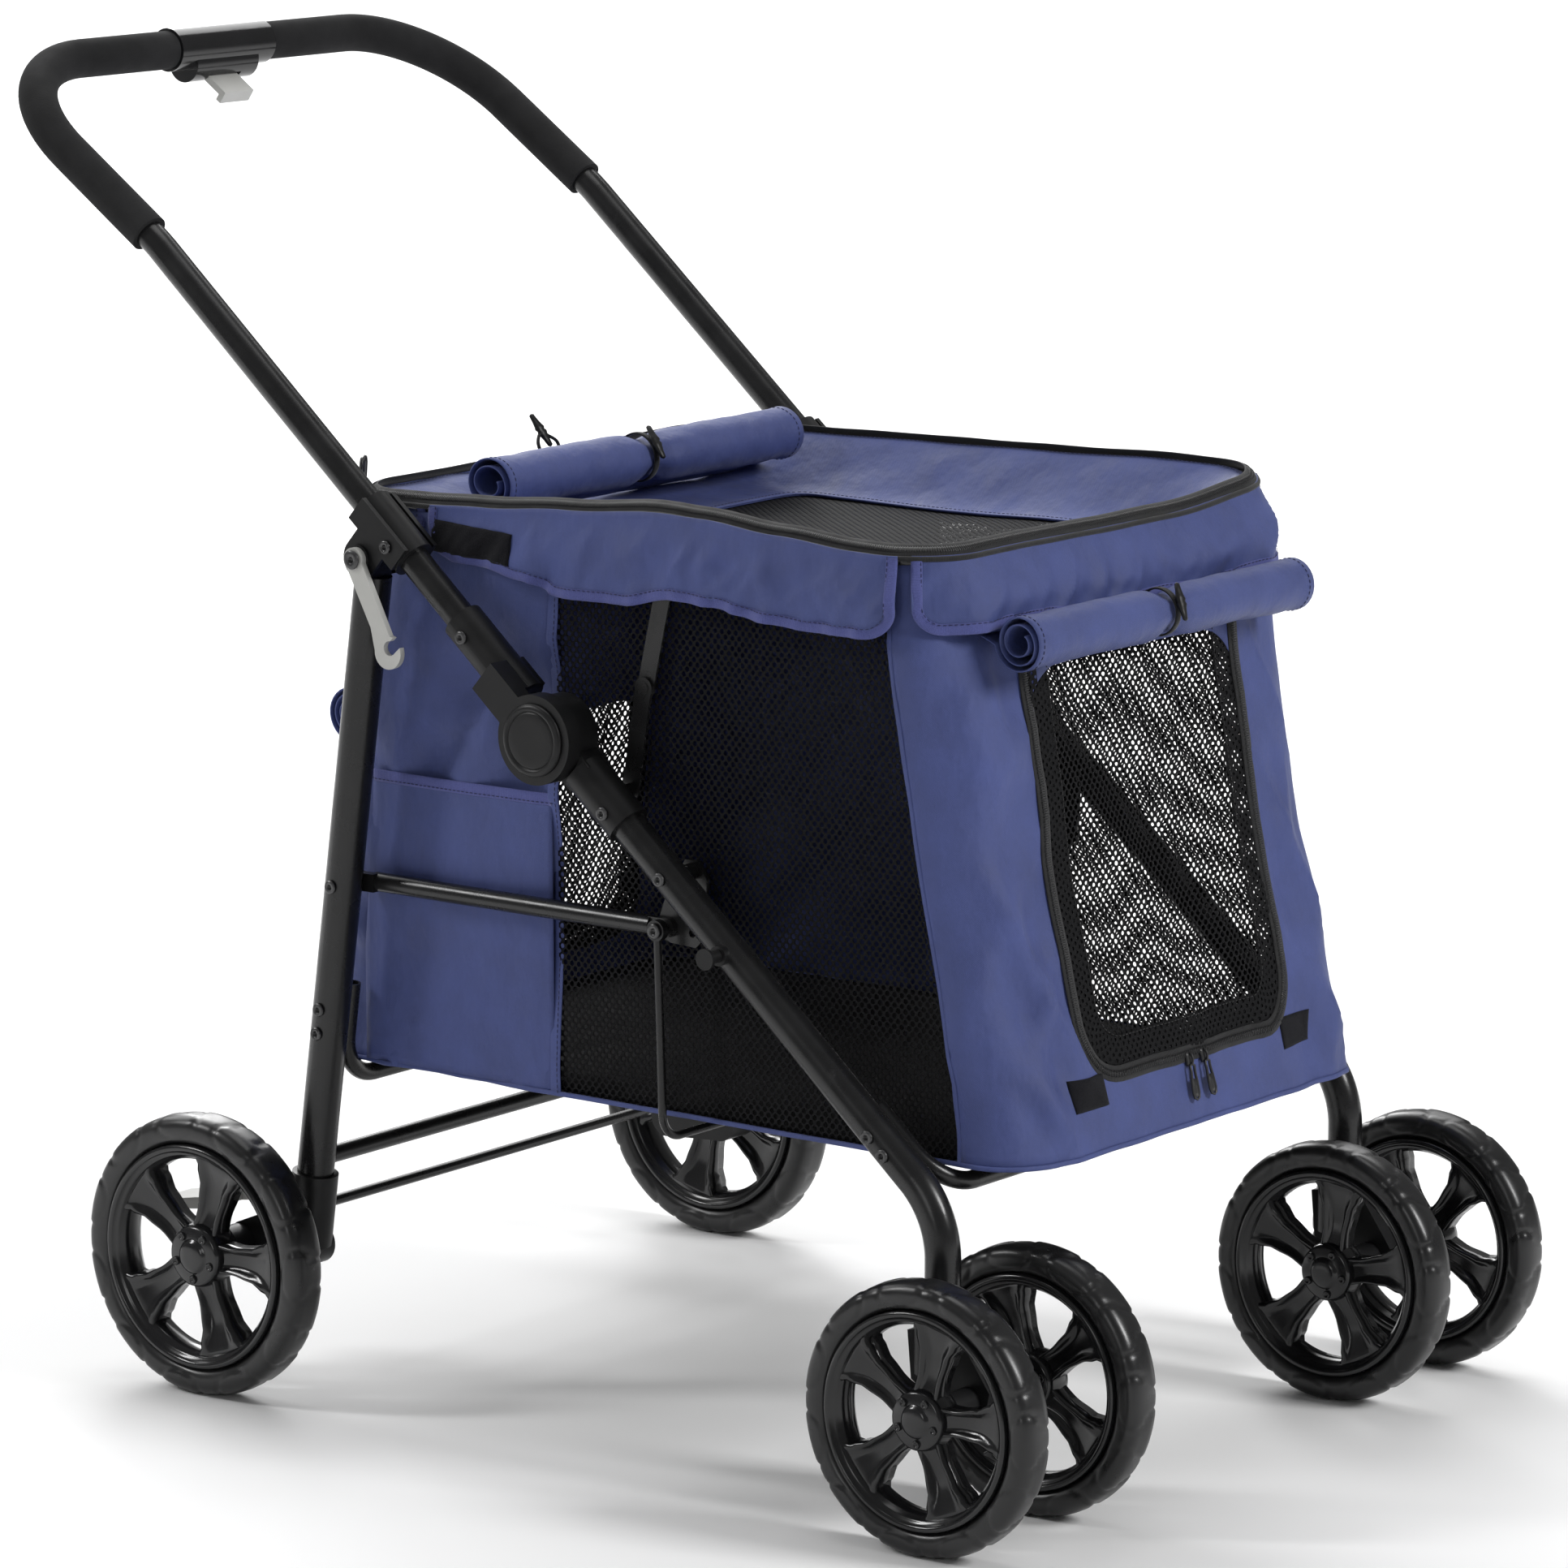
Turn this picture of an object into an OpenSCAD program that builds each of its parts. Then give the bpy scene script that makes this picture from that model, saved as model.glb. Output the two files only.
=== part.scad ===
// Folding pet stroller with six wheels, a zipped fabric cabin and a one-hand fold handle.
// Millimetres, +Z up. The front faces -Y and the stroller's right side is at -X.
// The origin is on the ground under the middle of the whole object.

/* [Wheels] */
// Diameter of the four front wheels
front_wheel_d = 190; // [180:2:200]
// Diameter of the two rear wheels
rear_wheel_d = 208; // [200:2:214]
// Width of a front tyre
front_tyre_w = 30; // [28:1:34]
// Width of a rear tyre
rear_tyre_w = 32; // [30:1:36]
// Distance between the front and rear axles
wheel_base = 662; // [655:1:668]
// Position of the rear axle along Y
rear_axle_y = 248; // [246:1:250]
// Distance between the middles of the two rear wheels
rear_track = 600; // [598:1:612]
// Distance between the two wheels of one caster
twin_spacing = 124; // [120:1:130]
// Distance of a caster's axle in front of its swivel axis
caster_trail = 32; // [28:1:36]

/* [Frame tubes] */
// Distance between the middles of the right and left side tubes
side_spacing = 494; // [490:1:500]
// Slope of the main side tubes above the horizontal, in degrees
frame_slope = 41; // [40:0.5:42]
// Position of the fold hub along Y
hub_y = -45; // [-50:1:-40]
// Height of the fold hub
hub_z = 511.5; // [505:0.5:518]
// Diameter of the handle tube
handle_tube_d = 22; // [20:0.5:23]
// Diameter of the front legs
front_leg_d = 25; // [24:0.5:26]
// Diameter of the rear legs
rear_leg_d = 27; // [25:0.5:27]
// Lean of the rear legs away from the vertical, in degrees
rear_leg_lean = 8.2; // [7.5:0.1:9]
// Diameter of the cross tubes that carry the cabin floor
cross_tube_d = 13; // [11:0.5:13]
// Wall thickness of the tubes
tube_wall = 1.5; // [1:0.1:2]

/* [Handle] */
// Distance along the side tube from the hub to the bend at the grip
handle_bend_at = 490; // [485:1:495]
// Length of the grip section from that bend to the top bar
handle_top_length = 205; // [200:1:208]
// Slope of the grip section, in degrees
grip_slope = 35; // [33:1:37]
// Bend radius of the handle's two upper corners
handle_corner_r = 100; // [80:5:110]
// Outer diameter of the foam grips
grip_d = 29; // [27:0.5:31]
// Half length of the trigger housing in the middle of the handle
pod_half = 52; // [48:1:56]

/* [Cabin] */
// Half width of the cabin
cabin_half_w = 213; // [209:1:213]
// Underside of the cabin
cabin_bottom_z = 240.5; // [240:0.5:244]
// Top edge of the cabin walls
wall_top_z = 644; // [640:1:645]
// Height of the wire frame round the top
rim_z = 654; // [652:1:656]
// Front edge of the cabin's underside
bottom_front_y = -428; // [-432:1:-424]
// Rear edge of the cabin's underside
bottom_rear_y = 222; // [218:1:224]
// Front edge of the cabin at the rim
top_front_y = -347; // [-350:1:-344]
// Rear edge of the cabin at the rim
top_rear_y = 186; // [183:1:188]
// Thickness of the lined fabric walls
fabric_t = 2.5; // [2:0.1:3]
// Radius of a rolled-up window cover
roll_r = 20; // [18:0.5:20.5]

/* [Hidden] */
$fn = 64;

// Colours
steel_black = "#202022";
plastic_black = "#1a1a1c";
fabric_blue = "#4a5488";
mesh_black = "#151518";
grip_grey = "#333336";
light_grey = "#c4c4c2";
zinc = "#8c8c90";

// Side tubes
side_x = side_spacing / 2;
slope_y = cos(frame_slope);
slope_z = sin(frame_slope);
front_axle_y = rear_axle_y - wheel_base;
caster_y = front_axle_y + caster_trail;
collar_z = 152;
leg_in_x = side_x - front_leg_d / 2;
rear_in_x = side_x - rear_leg_d / 2;

// A point of the main side tube at the distance s above the hub, as [y, z]
function on_side(s) = [hub_y + s * slope_y, hub_z + s * slope_z];
// The same point, moved down square to the tube by the drop
function below_side(s, drop) = on_side(s) + drop * [slope_z, -slope_y];
function at(x, yz) = [x, yz[0], yz[1]];

// Pivots, as [y, z]
hub = [hub_y, hub_z];
leg_pivot = below_side(198, 24);
bar_front = [-127, 381];
brace_foot = on_side(-58);
brace_elbow = [-101, 547];
brace_head = [-125, 650];

// Rear leg
function on_rear_leg(s) = leg_pivot + s * [sin(rear_leg_lean), -cos(rear_leg_lean)];
function rear_leg_at(z) = on_rear_leg((leg_pivot[1] - z) / cos(rear_leg_lean));
bar_rear = rear_leg_at(381);
rear_foot = rear_leg_at(112);

// Handle
bend = on_side(handle_bend_at);
grip_dir = [cos(grip_slope), sin(grip_slope)];
handle_top = bend + handle_top_length * grip_dir;
grip_from = bend + 10 * grip_dir;

// Cabin walls lean: their Y at a height
full_h = 660 - cabin_bottom_z;
function front_wall(z) = bottom_front_y + (z - cabin_bottom_z) * (top_front_y - bottom_front_y) / full_h;
function rear_wall(z) = bottom_rear_y + (z - cabin_bottom_z) * (top_rear_y - bottom_rear_y) / full_h;
front_lean = atan((top_front_y - bottom_front_y) / full_h);
rear_lean = atan((bottom_rear_y - top_rear_y) / full_h);
cabin_corner_r = 48;
mesh_t = 1.4;
door_gap = 1;

// ---------------------------------------------------------------- shared shapes

function unit(v) = v / norm(v);

// Children drawn in a frame with the given origin and axes
module place(o, ex, ey, ez) {
    multmatrix([
        [ex[0], ey[0], ez[0], o[0]],
        [ex[1], ey[1], ez[1], o[1]],
        [ex[2], ey[2], ez[2], o[2]],
        [0, 0, 0, 1]])
        children();
}

// A round bar from a to b
module bar(a, b, d) {
    ez = unit(b - a);
    side = abs(ez[2]) < 0.9 ? [0, 0, 1] : [1, 0, 0];
    ex = unit(cross(side, ez));
    place(a, ex, cross(ez, ex), ez)
        cylinder(d = d, h = norm(b - a));
}

// A round bend at the corner p between the directions u and v
module elbow(p, u, v, r, d) {
    turn = acos(u * v);
    inward = unit(v - u * (u * v));
    centre = p - u * r * tan(turn / 2) + inward * r;
    place(centre, -inward, u, cross(-inward, u))
        rotate_extrude(angle = turn)
            translate([r, 0])
                circle(d = d);
}

// A round bar that follows the points, with a bend radius for each inner point.
// The bends are a hair thinner and the straight parts run 1 mm into them.
module pipe(pts, radii, d) {
    n = len(pts) - 1;
    dirs = [for (i = [0:n - 1]) unit(pts[i + 1] - pts[i])];
    cut = [for (i = [0:n]) i == 0 || i == n ? 0 : radii[i - 1] * tan(acos(dirs[i - 1] * dirs[i]) / 2)];
    lap = [for (i = [0:n]) i == 0 || i == n ? 0 : 1];
    for (i = [0:n - 1])
        bar(pts[i] + dirs[i] * (cut[i] - lap[i]), pts[i + 1] - dirs[i] * (cut[i + 1] - lap[i + 1]), d);
    if (n > 1)
        for (i = [1:n - 1])
            elbow(pts[i], dirs[i - 1], dirs[i], radii[i - 1], d - 0.1);
}

// A hollow tube that follows the points
module tube(pts, radii, d, wall) {
    n = len(pts) - 1;
    first = pts[0] - unit(pts[1] - pts[0]);
    last = pts[n] + unit(pts[n] - pts[n - 1]);
    inner = [for (i = [0:n]) i == 0 ? first : i == n ? last : pts[i]];
    difference() {
        pipe(pts, radii, d);
        pipe(inner, radii, d - 2 * wall);
    }
}

module both() {
    children();
    mirror([1, 0, 0])
        children();
}

// A cylinder along X through the side point yz, from x0 to x1
module cross_pin(yz, x0, x1, d) {
    translate([min(x0, x1), yz[0], yz[1]])
        rotate([0, 90, 0])
            cylinder(d = d, h = abs(x1 - x0));
}

// A flat plate whose outline is drawn in the side view, from x0 to x1
module side_plate(x0, x1) {
    place([min(x0, x1), 0, 0], [0, 1, 0], [0, 0, 1], [1, 0, 0])
        linear_extrude(abs(x1 - x0))
            children();
}

// An outline in a plane along the direction dir from the side point p, as plain x and y
module along(p, dir) {
    translate(p)
        rotate(atan2(dir[1], dir[0]))
            children();
}

// A rectangle with round corners, centred on x, from y0 to y1
module round_rect(half_w, y0, y1, r) {
    union() {
        translate([-half_w, y0 + r])
            square([2 * half_w, y1 - y0 - 2 * r]);
        translate([-half_w + r, y0])
            square([2 * half_w - 2 * r, y1 - y0]);
        for (x = [-half_w + r, half_w - r])
            for (y = [y0 + r, y1 - r])
                translate([x, y])
                    circle(r);
    }
}

// A rivet through the side point yz: a shank with a round head on its outer end
module rivet(yz, x_out, x_in, d = 5, head_d = 10) {
    cross_pin(yz, x_out, x_in, d);
    cross_pin(yz, x_out - 2, x_out, head_d);
}

rivet_hole = 5.1;

// ---------------------------------------------------------------- front frame

lower_sleeve_rivet = on_side(-72);
plate_rivet = on_side(-135);
u_rivets_front = [on_side(-374), on_side(-391)];

module front_leg() {
    knee_s = (caster_y - hub_y) / slope_y;
    color(steel_black)
        difference() {
            tube([at(-side_x, on_side(-40)), at(-side_x, on_side(knee_s)), [-side_x, caster_y, collar_z]],
                [70], front_leg_d, tube_wall);
            for (p = concat([lower_sleeve_rivet, plate_rivet], u_rivets_front))
                cross_pin(p, -side_x - 20, -side_x + 20, rivet_hole);
        }
}

module front_leg_right() {
    front_leg();
}

module front_leg_left() {
    mirror([1, 0, 0])
        front_leg();
}

// Lower half of the fold hub with the socket for the front leg
module hub_lower() {
    color(plastic_black)
        both()
            difference() {
                union() {
                    cross_pin(hub, -258, -236, 58);
                    side_plate(-258, -236)
                        along(hub, [-slope_y, -slope_z])
                            translate([0, -13])
                                square([40, 26]);
                    bar(at(-side_x, on_side(-34)), at(-side_x, on_side(-86)), 32);
                }
                bar(at(-side_x, on_side(-40)), at(-side_x, on_side(-90)), front_leg_d + 0.1);
                cross_pin(hub, -260, -234, 12.1);
                cross_pin(lower_sleeve_rivet, -270, -225, rivet_hole);
                cross_pin(brace_foot, -234.4, -225, rivet_hole);
            }
}

// U-shaped cross tube under the front of the cabin
u_tube_z = 230.5;
front_u_x = leg_in_x - cross_tube_d / 2 - 0.2;
rear_u_x = rear_in_x - cross_tube_d / 2 - 0.2;

module front_u_tube() {
    corner_s = (u_tube_z - hub_z) / slope_z;
    color(steel_black)
        difference() {
            tube([at(-front_u_x, on_side(-355)), at(-front_u_x, on_side(corner_s)),
                    at(front_u_x, on_side(corner_s)), at(front_u_x, on_side(-355))],
                [34, 34], cross_tube_d, tube_wall);
            for (p = u_rivets_front)
                cross_pin(p, -side_x, side_x, rivet_hole);
        }
}

// Plate inside each front leg that carries the side bar and the floor wire
plate_x0 = 223.5;
plate_x1 = 220.5;

module link_plates() {
    second_hole = [-147, 379];
    color(steel_black)
        both()
            difference() {
                union() {
                    side_plate(-plate_x0, -plate_x1)
                        polygon([[-118, 388], [-119, 373], [-128, 370], [-150, 369], [-158, 377],
                            [-160, 418], [-153, 431], [-141, 431], [-124, 404]]);
                    cross_pin(plate_rivet, -leg_in_x + 0.3, -plate_x0, 12);
                }
                cross_pin(plate_rivet, -240, -210, rivet_hole);
                cross_pin(second_hole, -240, -210, 6);
                cross_pin(bar_front, -240, -210, 6.02);
            }
}

// Fixed collar at the foot of each front leg, with the caster's swivel pin
module caster_collars() {
    color(plastic_black)
        both()
            translate([-side_x, caster_y, 0])
                difference() {
                    union() {
                        translate([0, 0, collar_z - 4])
                            cylinder(d = 36, h = 14);
                        translate([0, 0, 112])
                            cylinder(d = 12, h = 38);
                    }
                    translate([0, 0, collar_z])
                        cylinder(d = front_leg_d + 0.1, h = 20);
                }
}

// Pin on the right front leg that the folding lock hooks over
hook_pin_at = on_side(-206);

module hook_pin() {
    color(plastic_black)
        difference() {
            union() {
                cross_pin(hook_pin_at, -263, -side_x - 5, 14);
                cross_pin(hook_pin_at, -275, -263, 9);
                cross_pin(hook_pin_at, -277.5, -275, 15);
            }
            bar(at(-side_x, on_side(-190)), at(-side_x, on_side(-222)), front_leg_d + 0.1);
        }
}

module front_rivets() {
    color(zinc)
        both() {
            rivet(lower_sleeve_rivet, -263.2, -231);
            rivet(plate_rivet, -260, -219);
            for (p = u_rivets_front)
                rivet(p, -260, -221);
            rivet(bar_front, -240.8, -219, 6, 11);
            cross_pin(brace_foot, -234.2, -217, 5);
            cross_pin(brace_foot, -217, -215.6, 9);
        }
}

// ---------------------------------------------------------------- cabin

// Solid outer form of the cabin, taken in by the inset on every side
bottom_edge = 7;
module cabin_form(inset, z0, z1) {
    front_z = function(z) front_wall(z) + inset;
    rear_z = function(z) rear_wall(z) - inset;
    hull()
        for (level = [[z0, bottom_edge], [z0 + 9, 0], [z1 - 0.1, 0]])
            translate([0, 0, level[0]])
                linear_extrude(0.1)
                    round_rect(cabin_half_w - inset - level[1], front_z(level[0]) + level[1],
                        rear_z(level[0]) - level[1], cabin_corner_r - inset, $fn = 32);
}

// Windows of the cabin
side_win_y0 = -372;
side_win_y1 = -22;
side_win_z0 = 252;
side_win_z1 = 636;
front_win_half = 123;
front_win_z0 = 290;
front_win_z1 = 562;
rear_win_half = 162;
rear_win_z0 = 272;
rear_win_z1 = 440;
win_corner_r = 38;
pocket_y0 = -14;
pocket_y1 = 160;
pocket_z0 = 258;
pocket_lip_z = 461;
pocket_z1 = 498;
pocket_depth = 8;

// Prism through both side walls that leaves the mesh area
module side_window(grow) {
    front_low = side_win_y0 - grow;
    front_high = front_low + 54;
    place([-240, 0, 0], [0, 1, 0], [0, 0, 1], [1, 0, 0])
        linear_extrude(480)
            polygon([[front_low, side_win_z0 - grow], [side_win_y1 + grow, side_win_z0 - grow],
                [side_win_y1 + grow, side_win_z1 + grow], [front_high, side_win_z1 + grow]]);
}

// Outline of a door in its leaning plane, measured up from the cabin's underside
module door_outline(half_w, z0, z1, lean) {
    round_rect(half_w, (z0 - cabin_bottom_z) / cos(lean), (z1 - cabin_bottom_z) / cos(lean), win_corner_r);
}

module front_plane() {
    translate([0, bottom_front_y, cabin_bottom_z])
        rotate([90 - front_lean, 0, 0])
            children();
}

module rear_plane() {
    translate([0, bottom_rear_y, cabin_bottom_z])
        rotate([90 + rear_lean, 0, 0])
            children();
}

module cabin_shell() {
    color(fabric_blue)
        difference() {
            cabin_form(0, cabin_bottom_z, wall_top_z);
            cabin_form(fabric_t, cabin_bottom_z + fabric_t, wall_top_z + 1);
            side_window(0);
            front_plane()
                translate([0, 0, -12])
                    linear_extrude(24)
                        door_outline(front_win_half, front_win_z0, front_win_z1, front_lean);
            rear_plane()
                translate([0, 0, -12])
                    linear_extrude(24)
                        door_outline(rear_win_half, rear_win_z0, rear_win_z1, rear_lean);
            both()
                translate([-cabin_half_w - 1, pocket_y0, pocket_z0])
                    cube([pocket_depth + 6, pocket_y1 - pocket_y0, pocket_z1 - pocket_z0]);
        }
}

module floor_board() {
    color(mesh_black)
        translate([0, 0, cabin_bottom_z + fabric_t + 0.2])
            linear_extrude(6)
                round_rect(cabin_half_w - 10.5, front_wall(251) + 12, rear_wall(251) - 12, 40);
}

// Fixed mesh windows in the two sides
module side_mesh() {
    color(mesh_black)
        intersection() {
            difference() {
                cabin_form(0.3, side_win_z0, side_win_z1);
                cabin_form(0.3 + mesh_t, side_win_z0 - 5, side_win_z1 + 5);
            }
            side_window(-0.3);
            translate([-250, -365, 200])
                cube([500, 700, 500]);
        }
}

// Flat bag pockets let into the rear quarter of both sides
module side_pockets() {
    outer_x = -cabin_half_w + 0.2;
    inner_x = outer_x + pocket_depth;
    len_y = pocket_y1 - pocket_y0 - 0.6;
    y0 = pocket_y0 + 0.3;
    z0 = pocket_z0 + 0.3;
    skin = 1.2;
    color(fabric_blue)
        both()
            union() {
                translate([outer_x, y0, z0])
                    cube([skin, len_y, pocket_lip_z - z0]);
                translate([inner_x, y0, z0])
                    cube([skin, len_y, pocket_z1 - z0 - 0.3]);
                translate([outer_x, y0, z0])
                    cube([pocket_depth + skin, len_y, skin]);
                for (y = [y0, y0 + len_y - skin])
                    translate([outer_x, y, z0])
                        cube([pocket_depth + skin, skin, pocket_z1 - z0 - 0.3]);
                translate([outer_x, y0, pocket_z1 - skin - 0.3])
                    cube([pocket_depth + skin, len_y, skin]);
            }
}

// U-shaped wire that hangs from the side bar pivots and carries the floor
wire_x = 237.2;
wire_z = 232;

module floor_wire() {
    foot = [bar_front[0] - 4, wire_z];
    color(steel_black)
        difference() {
            union() {
                pipe([at(-wire_x, bar_front - [0, 4]), at(-wire_x, foot), at(wire_x, foot),
                    at(wire_x, bar_front - [0, 4])], [18, 18], 6);
                both()
                    cross_pin(bar_front, -wire_x - 3, -wire_x + 3, 15);
            }
            cross_pin(bar_front, -250, 250, 6.1);
        }
}

// Window covers, rolled up and tied
front_roll_z = 600;
rear_roll_z = 485;

module roll(y, z, half) {
    color(fabric_blue)
        cross_pin([y, z], -half, half, 2 * roll_r);
}

module front_roll() {
    roll(front_wall(front_roll_z) - roll_r - 6, front_roll_z, 166);
}

module rear_roll() {
    roll(rear_wall(rear_roll_z) + roll_r + 2.5, rear_roll_z, 160);
}

// Toggle button that ties a roll
module toggle(x, y, z) {
    color(plastic_black)
        translate([x, y, z])
            union() {
                cylinder(d = 7, h = 22, center = true);
                sphere(d = 10);
            }
}

module front_toggle() {
    toggle(0, front_wall(front_roll_z) - 2 * roll_r - 11.7, front_roll_z + 4);
}

module front_door() {
    color(mesh_black)
        front_plane()
            translate([0, 0, -fabric_t + 0.5])
                linear_extrude(mesh_t)
                    door_outline(front_win_half - door_gap, front_win_z0 + door_gap,
                        front_win_z1 - door_gap, front_lean);
}

module rear_door() {
    color(mesh_black)
        rear_plane()
            translate([0, 0, fabric_t - 0.5 - mesh_t])
                linear_extrude(mesh_t)
                    door_outline(rear_win_half - door_gap, rear_win_z0 + door_gap,
                        rear_win_z1 - door_gap, rear_lean);
}

// Zip sliders that meet under the front door, each with its pull tab
module front_slider(sx) {
    up = (front_win_z0 - 5 - cabin_bottom_z) / cos(front_lean);
    color(plastic_black)
        front_plane()
            translate([sx * 9, up, 0.4])
                union() {
                    translate([-5, -4, 0])
                        cube([10, 8, 5]);
                    translate([-3, -28, 1.5])
                        cube([6, 27, 2.2]);
                }
}

module front_slider_right() {
    front_slider(-1);
}

module front_slider_left() {
    front_slider(1);
}

// ---------------------------------------------------------------- rim, lid and braces

rim_x = cabin_half_w - 4;
rim_front = top_front_y + 6;
rim_rear = top_rear_y - 6;
rim_r = 44;

// Wire frame round the cabin's mouth with the two pins that the braces carry
module rim_frame() {
    mid = (rim_front + rim_rear) / 2;
    color(steel_black)
        union() {
            pipe([[-rim_x, mid, rim_z], [-rim_x, rim_front, rim_z], [rim_x, rim_front, rim_z],
                [rim_x, rim_rear, rim_z], [-rim_x, rim_rear, rim_z], [-rim_x, mid, rim_z]],
                [rim_r, rim_r, rim_r, rim_r], 6);
            both()
                cross_pin(brace_head, -217.4, -rim_x, 5);
            both()
                cross_pin(brace_head, -219, -217.4, 9);
        }
}

// Fabric skirt that hangs from the rim
skirt_x = 220;
skirt_t = 1.5;

module valance() {
    z1 = rim_z + 5;
    front_y = front_wall(606) - 5;
    color(fabric_blue)
        union() {
            both() {
                translate([-skirt_x - skirt_t, -300, 604])
                    cube([skirt_t, 398, z1 - 604]);
                translate([-skirt_x - skirt_t, -300, z1 - skirt_t])
                    cube([skirt_x - rim_x + skirt_t, 398, skirt_t]);
            }
            translate([-200, front_y - skirt_t, 607])
                cube([400, skirt_t, z1 - 607]);
            translate([-200, front_y - skirt_t, z1 - skirt_t])
                cube([400, rim_front - front_y, skirt_t]);
        }
}

// Zip-round lid over the cabin's mouth
lid_z = rim_z + 6;
lid_half = rim_x - 4;
lid_front = rim_front + 6;
lid_rear = rim_rear - 2;
lid_win_half = 150;
lid_win_front = -262;
lid_win_rear = 48;

module lid_border() {
    color(fabric_blue)
        translate([0, 0, lid_z])
            linear_extrude(2.2)
                difference() {
                    round_rect(lid_half, lid_front, lid_rear, 40);
                    round_rect(lid_win_half, lid_win_front, lid_win_rear, 20);
                }
}

module lid_mesh() {
    color(mesh_black)
        translate([0, 0, lid_z + 0.4])
            linear_extrude(mesh_t)
                round_rect(lid_win_half - 0.3, lid_win_front + 0.3, lid_win_rear - 0.3, 20);
}

lid_roll_y = 80;

module lid_roll() {
    roll(lid_roll_y, lid_z + 2.4 + roll_r, 166);
}

module lid_toggle() {
    toggle(0, lid_roll_y - roll_r - 5.2, lid_z + roll_r + 5);
}

// Flat two-part braces that hold the rim up
brace_w = 14;

module brace_bar(a, b, x0, x1) {
    side_plate(x0, x1)
        difference() {
            union() {
                along(a, b - a)
                    translate([0, -brace_w / 2])
                        square([norm(b - a), brace_w]);
                for (p = [a, b])
                    translate(p)
                        circle(d = brace_w + 1);
            }
            for (p = [a, b])
                translate(p)
                    circle(d = 5.1);
        }
}

module brace_lower() {
    color(steel_black)
        both()
            union() {
                brace_bar(brace_foot, brace_elbow, -219.4, -217.2);
                difference() {
                    cross_pin(brace_foot, -230.5, -219.4, 9.5);
                    cross_pin(brace_foot, -232, -219, 5.1);
                }
                cross_pin(brace_elbow, -219.9, -219.2, 9);
            }
}

module brace_upper() {
    color(steel_black)
        both()
            brace_bar(brace_elbow, brace_head, -216.9, -214.7);
}

// Side bars between the rear legs and the front legs' plates
module side_bars() {
    bar_x = 225;
    front_end = bar_front + [14, 0];
    rear_end = bar_rear - [12, 0];
    color(steel_black)
        both()
            difference() {
                union() {
                    tube([at(-bar_x, front_end), at(-bar_x, rear_end)], [], 14, 1.2);
                    side_plate(-228.2, -223.8)
                        union() {
                            translate(bar_front)
                                circle(d = 14);
                            translate(bar_front - [0, 6.6])
                                square([16, 13.2]);
                        }
                    side_plate(-233.1, -226)
                        union() {
                            translate(bar_rear)
                                circle(d = 14);
                            translate(bar_rear - [16, 6.6])
                                square([16, 13.2]);
                        }
                }
                cross_pin(bar_front, -240, -210, 6.1);
            }
}

// ---------------------------------------------------------------- handle frame

upper_sleeve_rivet = on_side(97);
bracket_rivet = on_side(186);

module handle_tube() {
    color(steel_black)
        difference() {
            tube([at(-side_x, on_side(44)), at(-side_x, bend), at(-side_x, handle_top),
                    at(side_x, handle_top), at(side_x, bend), at(side_x, on_side(44))],
                [150, handle_corner_r, handle_corner_r, 150], handle_tube_d, tube_wall);
            for (p = [upper_sleeve_rivet, bracket_rivet])
                cross_pin(p, -side_x - 20, side_x + 20, rivet_hole);
        }
}

module foam_grips() {
    path = [at(-side_x, grip_from), at(-side_x, handle_top), at(-pod_half - 0.3, handle_top)];
    color(grip_grey)
        both()
            tube(path, [handle_corner_r], grip_d, (grip_d - handle_tube_d) / 2 - 0.05);
}

// Frame of the handle's top bar: x along the bar, y rearwards and up, z square to both
module top_bar_frame() {
    place([0, handle_top[0], handle_top[1]], [1, 0, 0], [0, grip_dir[0], grip_dir[1]],
        [0, -grip_dir[1], grip_dir[0]])
        children();
}

trigger_pivot = [-6, -15];

module handle_pod() {
    color(plastic_black)
        top_bar_frame()
            difference() {
                union() {
                    rotate([0, 90, 0])
                        cylinder(d = 33, h = 2 * pod_half, center = true);
                    translate([0, -6, -9])
                        rotate([0, 90, 0])
                            cylinder(d = 30, h = 68, center = true);
                }
                rotate([0, 90, 0])
                    cylinder(d = handle_tube_d + 0.1, h = 2 * pod_half + 2, center = true);
                translate([-17.5, -26, -28])
                    cube([35, 26, 18]);
                translate([0, trigger_pivot[0], trigger_pivot[1]])
                    rotate([0, 90, 0])
                        cylinder(d = 4.1, h = 56, center = true);
            }
}

// Finger trigger that releases both hubs
module fold_trigger() {
    color(light_grey)
        top_bar_frame()
            union() {
                translate([-16, -40, trigger_pivot[1] - 3])
                    cube([32, 34, 5]);
                translate([0, trigger_pivot[0], trigger_pivot[1]])
                    rotate([0, 90, 0])
                        cylinder(d = 8, h = 32, center = true);
                translate([0, trigger_pivot[0], trigger_pivot[1]])
                    rotate([0, 90, 0])
                        cylinder(d = 4, h = 54, center = true);
                translate([-16, -40, trigger_pivot[1] - 8])
                    cube([32, 5, 8]);
            }
}

// Upper half of the fold hub with the socket for the handle tube
module hub_upper() {
    color(plastic_black)
        both()
            difference() {
                union() {
                    cross_pin(hub, -272, -258.4, 64);
                    side_plate(-272, -258.4)
                        along(hub, [slope_y, slope_z])
                            translate([0, -13])
                                square([62, 26]);
                    side_plate(-262, -236)
                        along(hub, [slope_y, slope_z])
                            translate([36, -13])
                                square([26, 26]);
                    bar(at(-side_x, on_side(36)), at(-side_x, on_side(112)), 30);
                }
                bar(at(-side_x, on_side(44)), at(-side_x, on_side(120)), handle_tube_d + 0.1);
                cross_pin(hub, -274, -256, 12.04);
                cross_pin(upper_sleeve_rivet, -270, -225, rivet_hole);
            }
}

module hub_caps() {
    color(plastic_black)
        both()
            difference() {
                cross_pin(hub, -276, -272, 52);
                cross_pin(hub, -277, -275, 38);
            }
}

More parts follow.
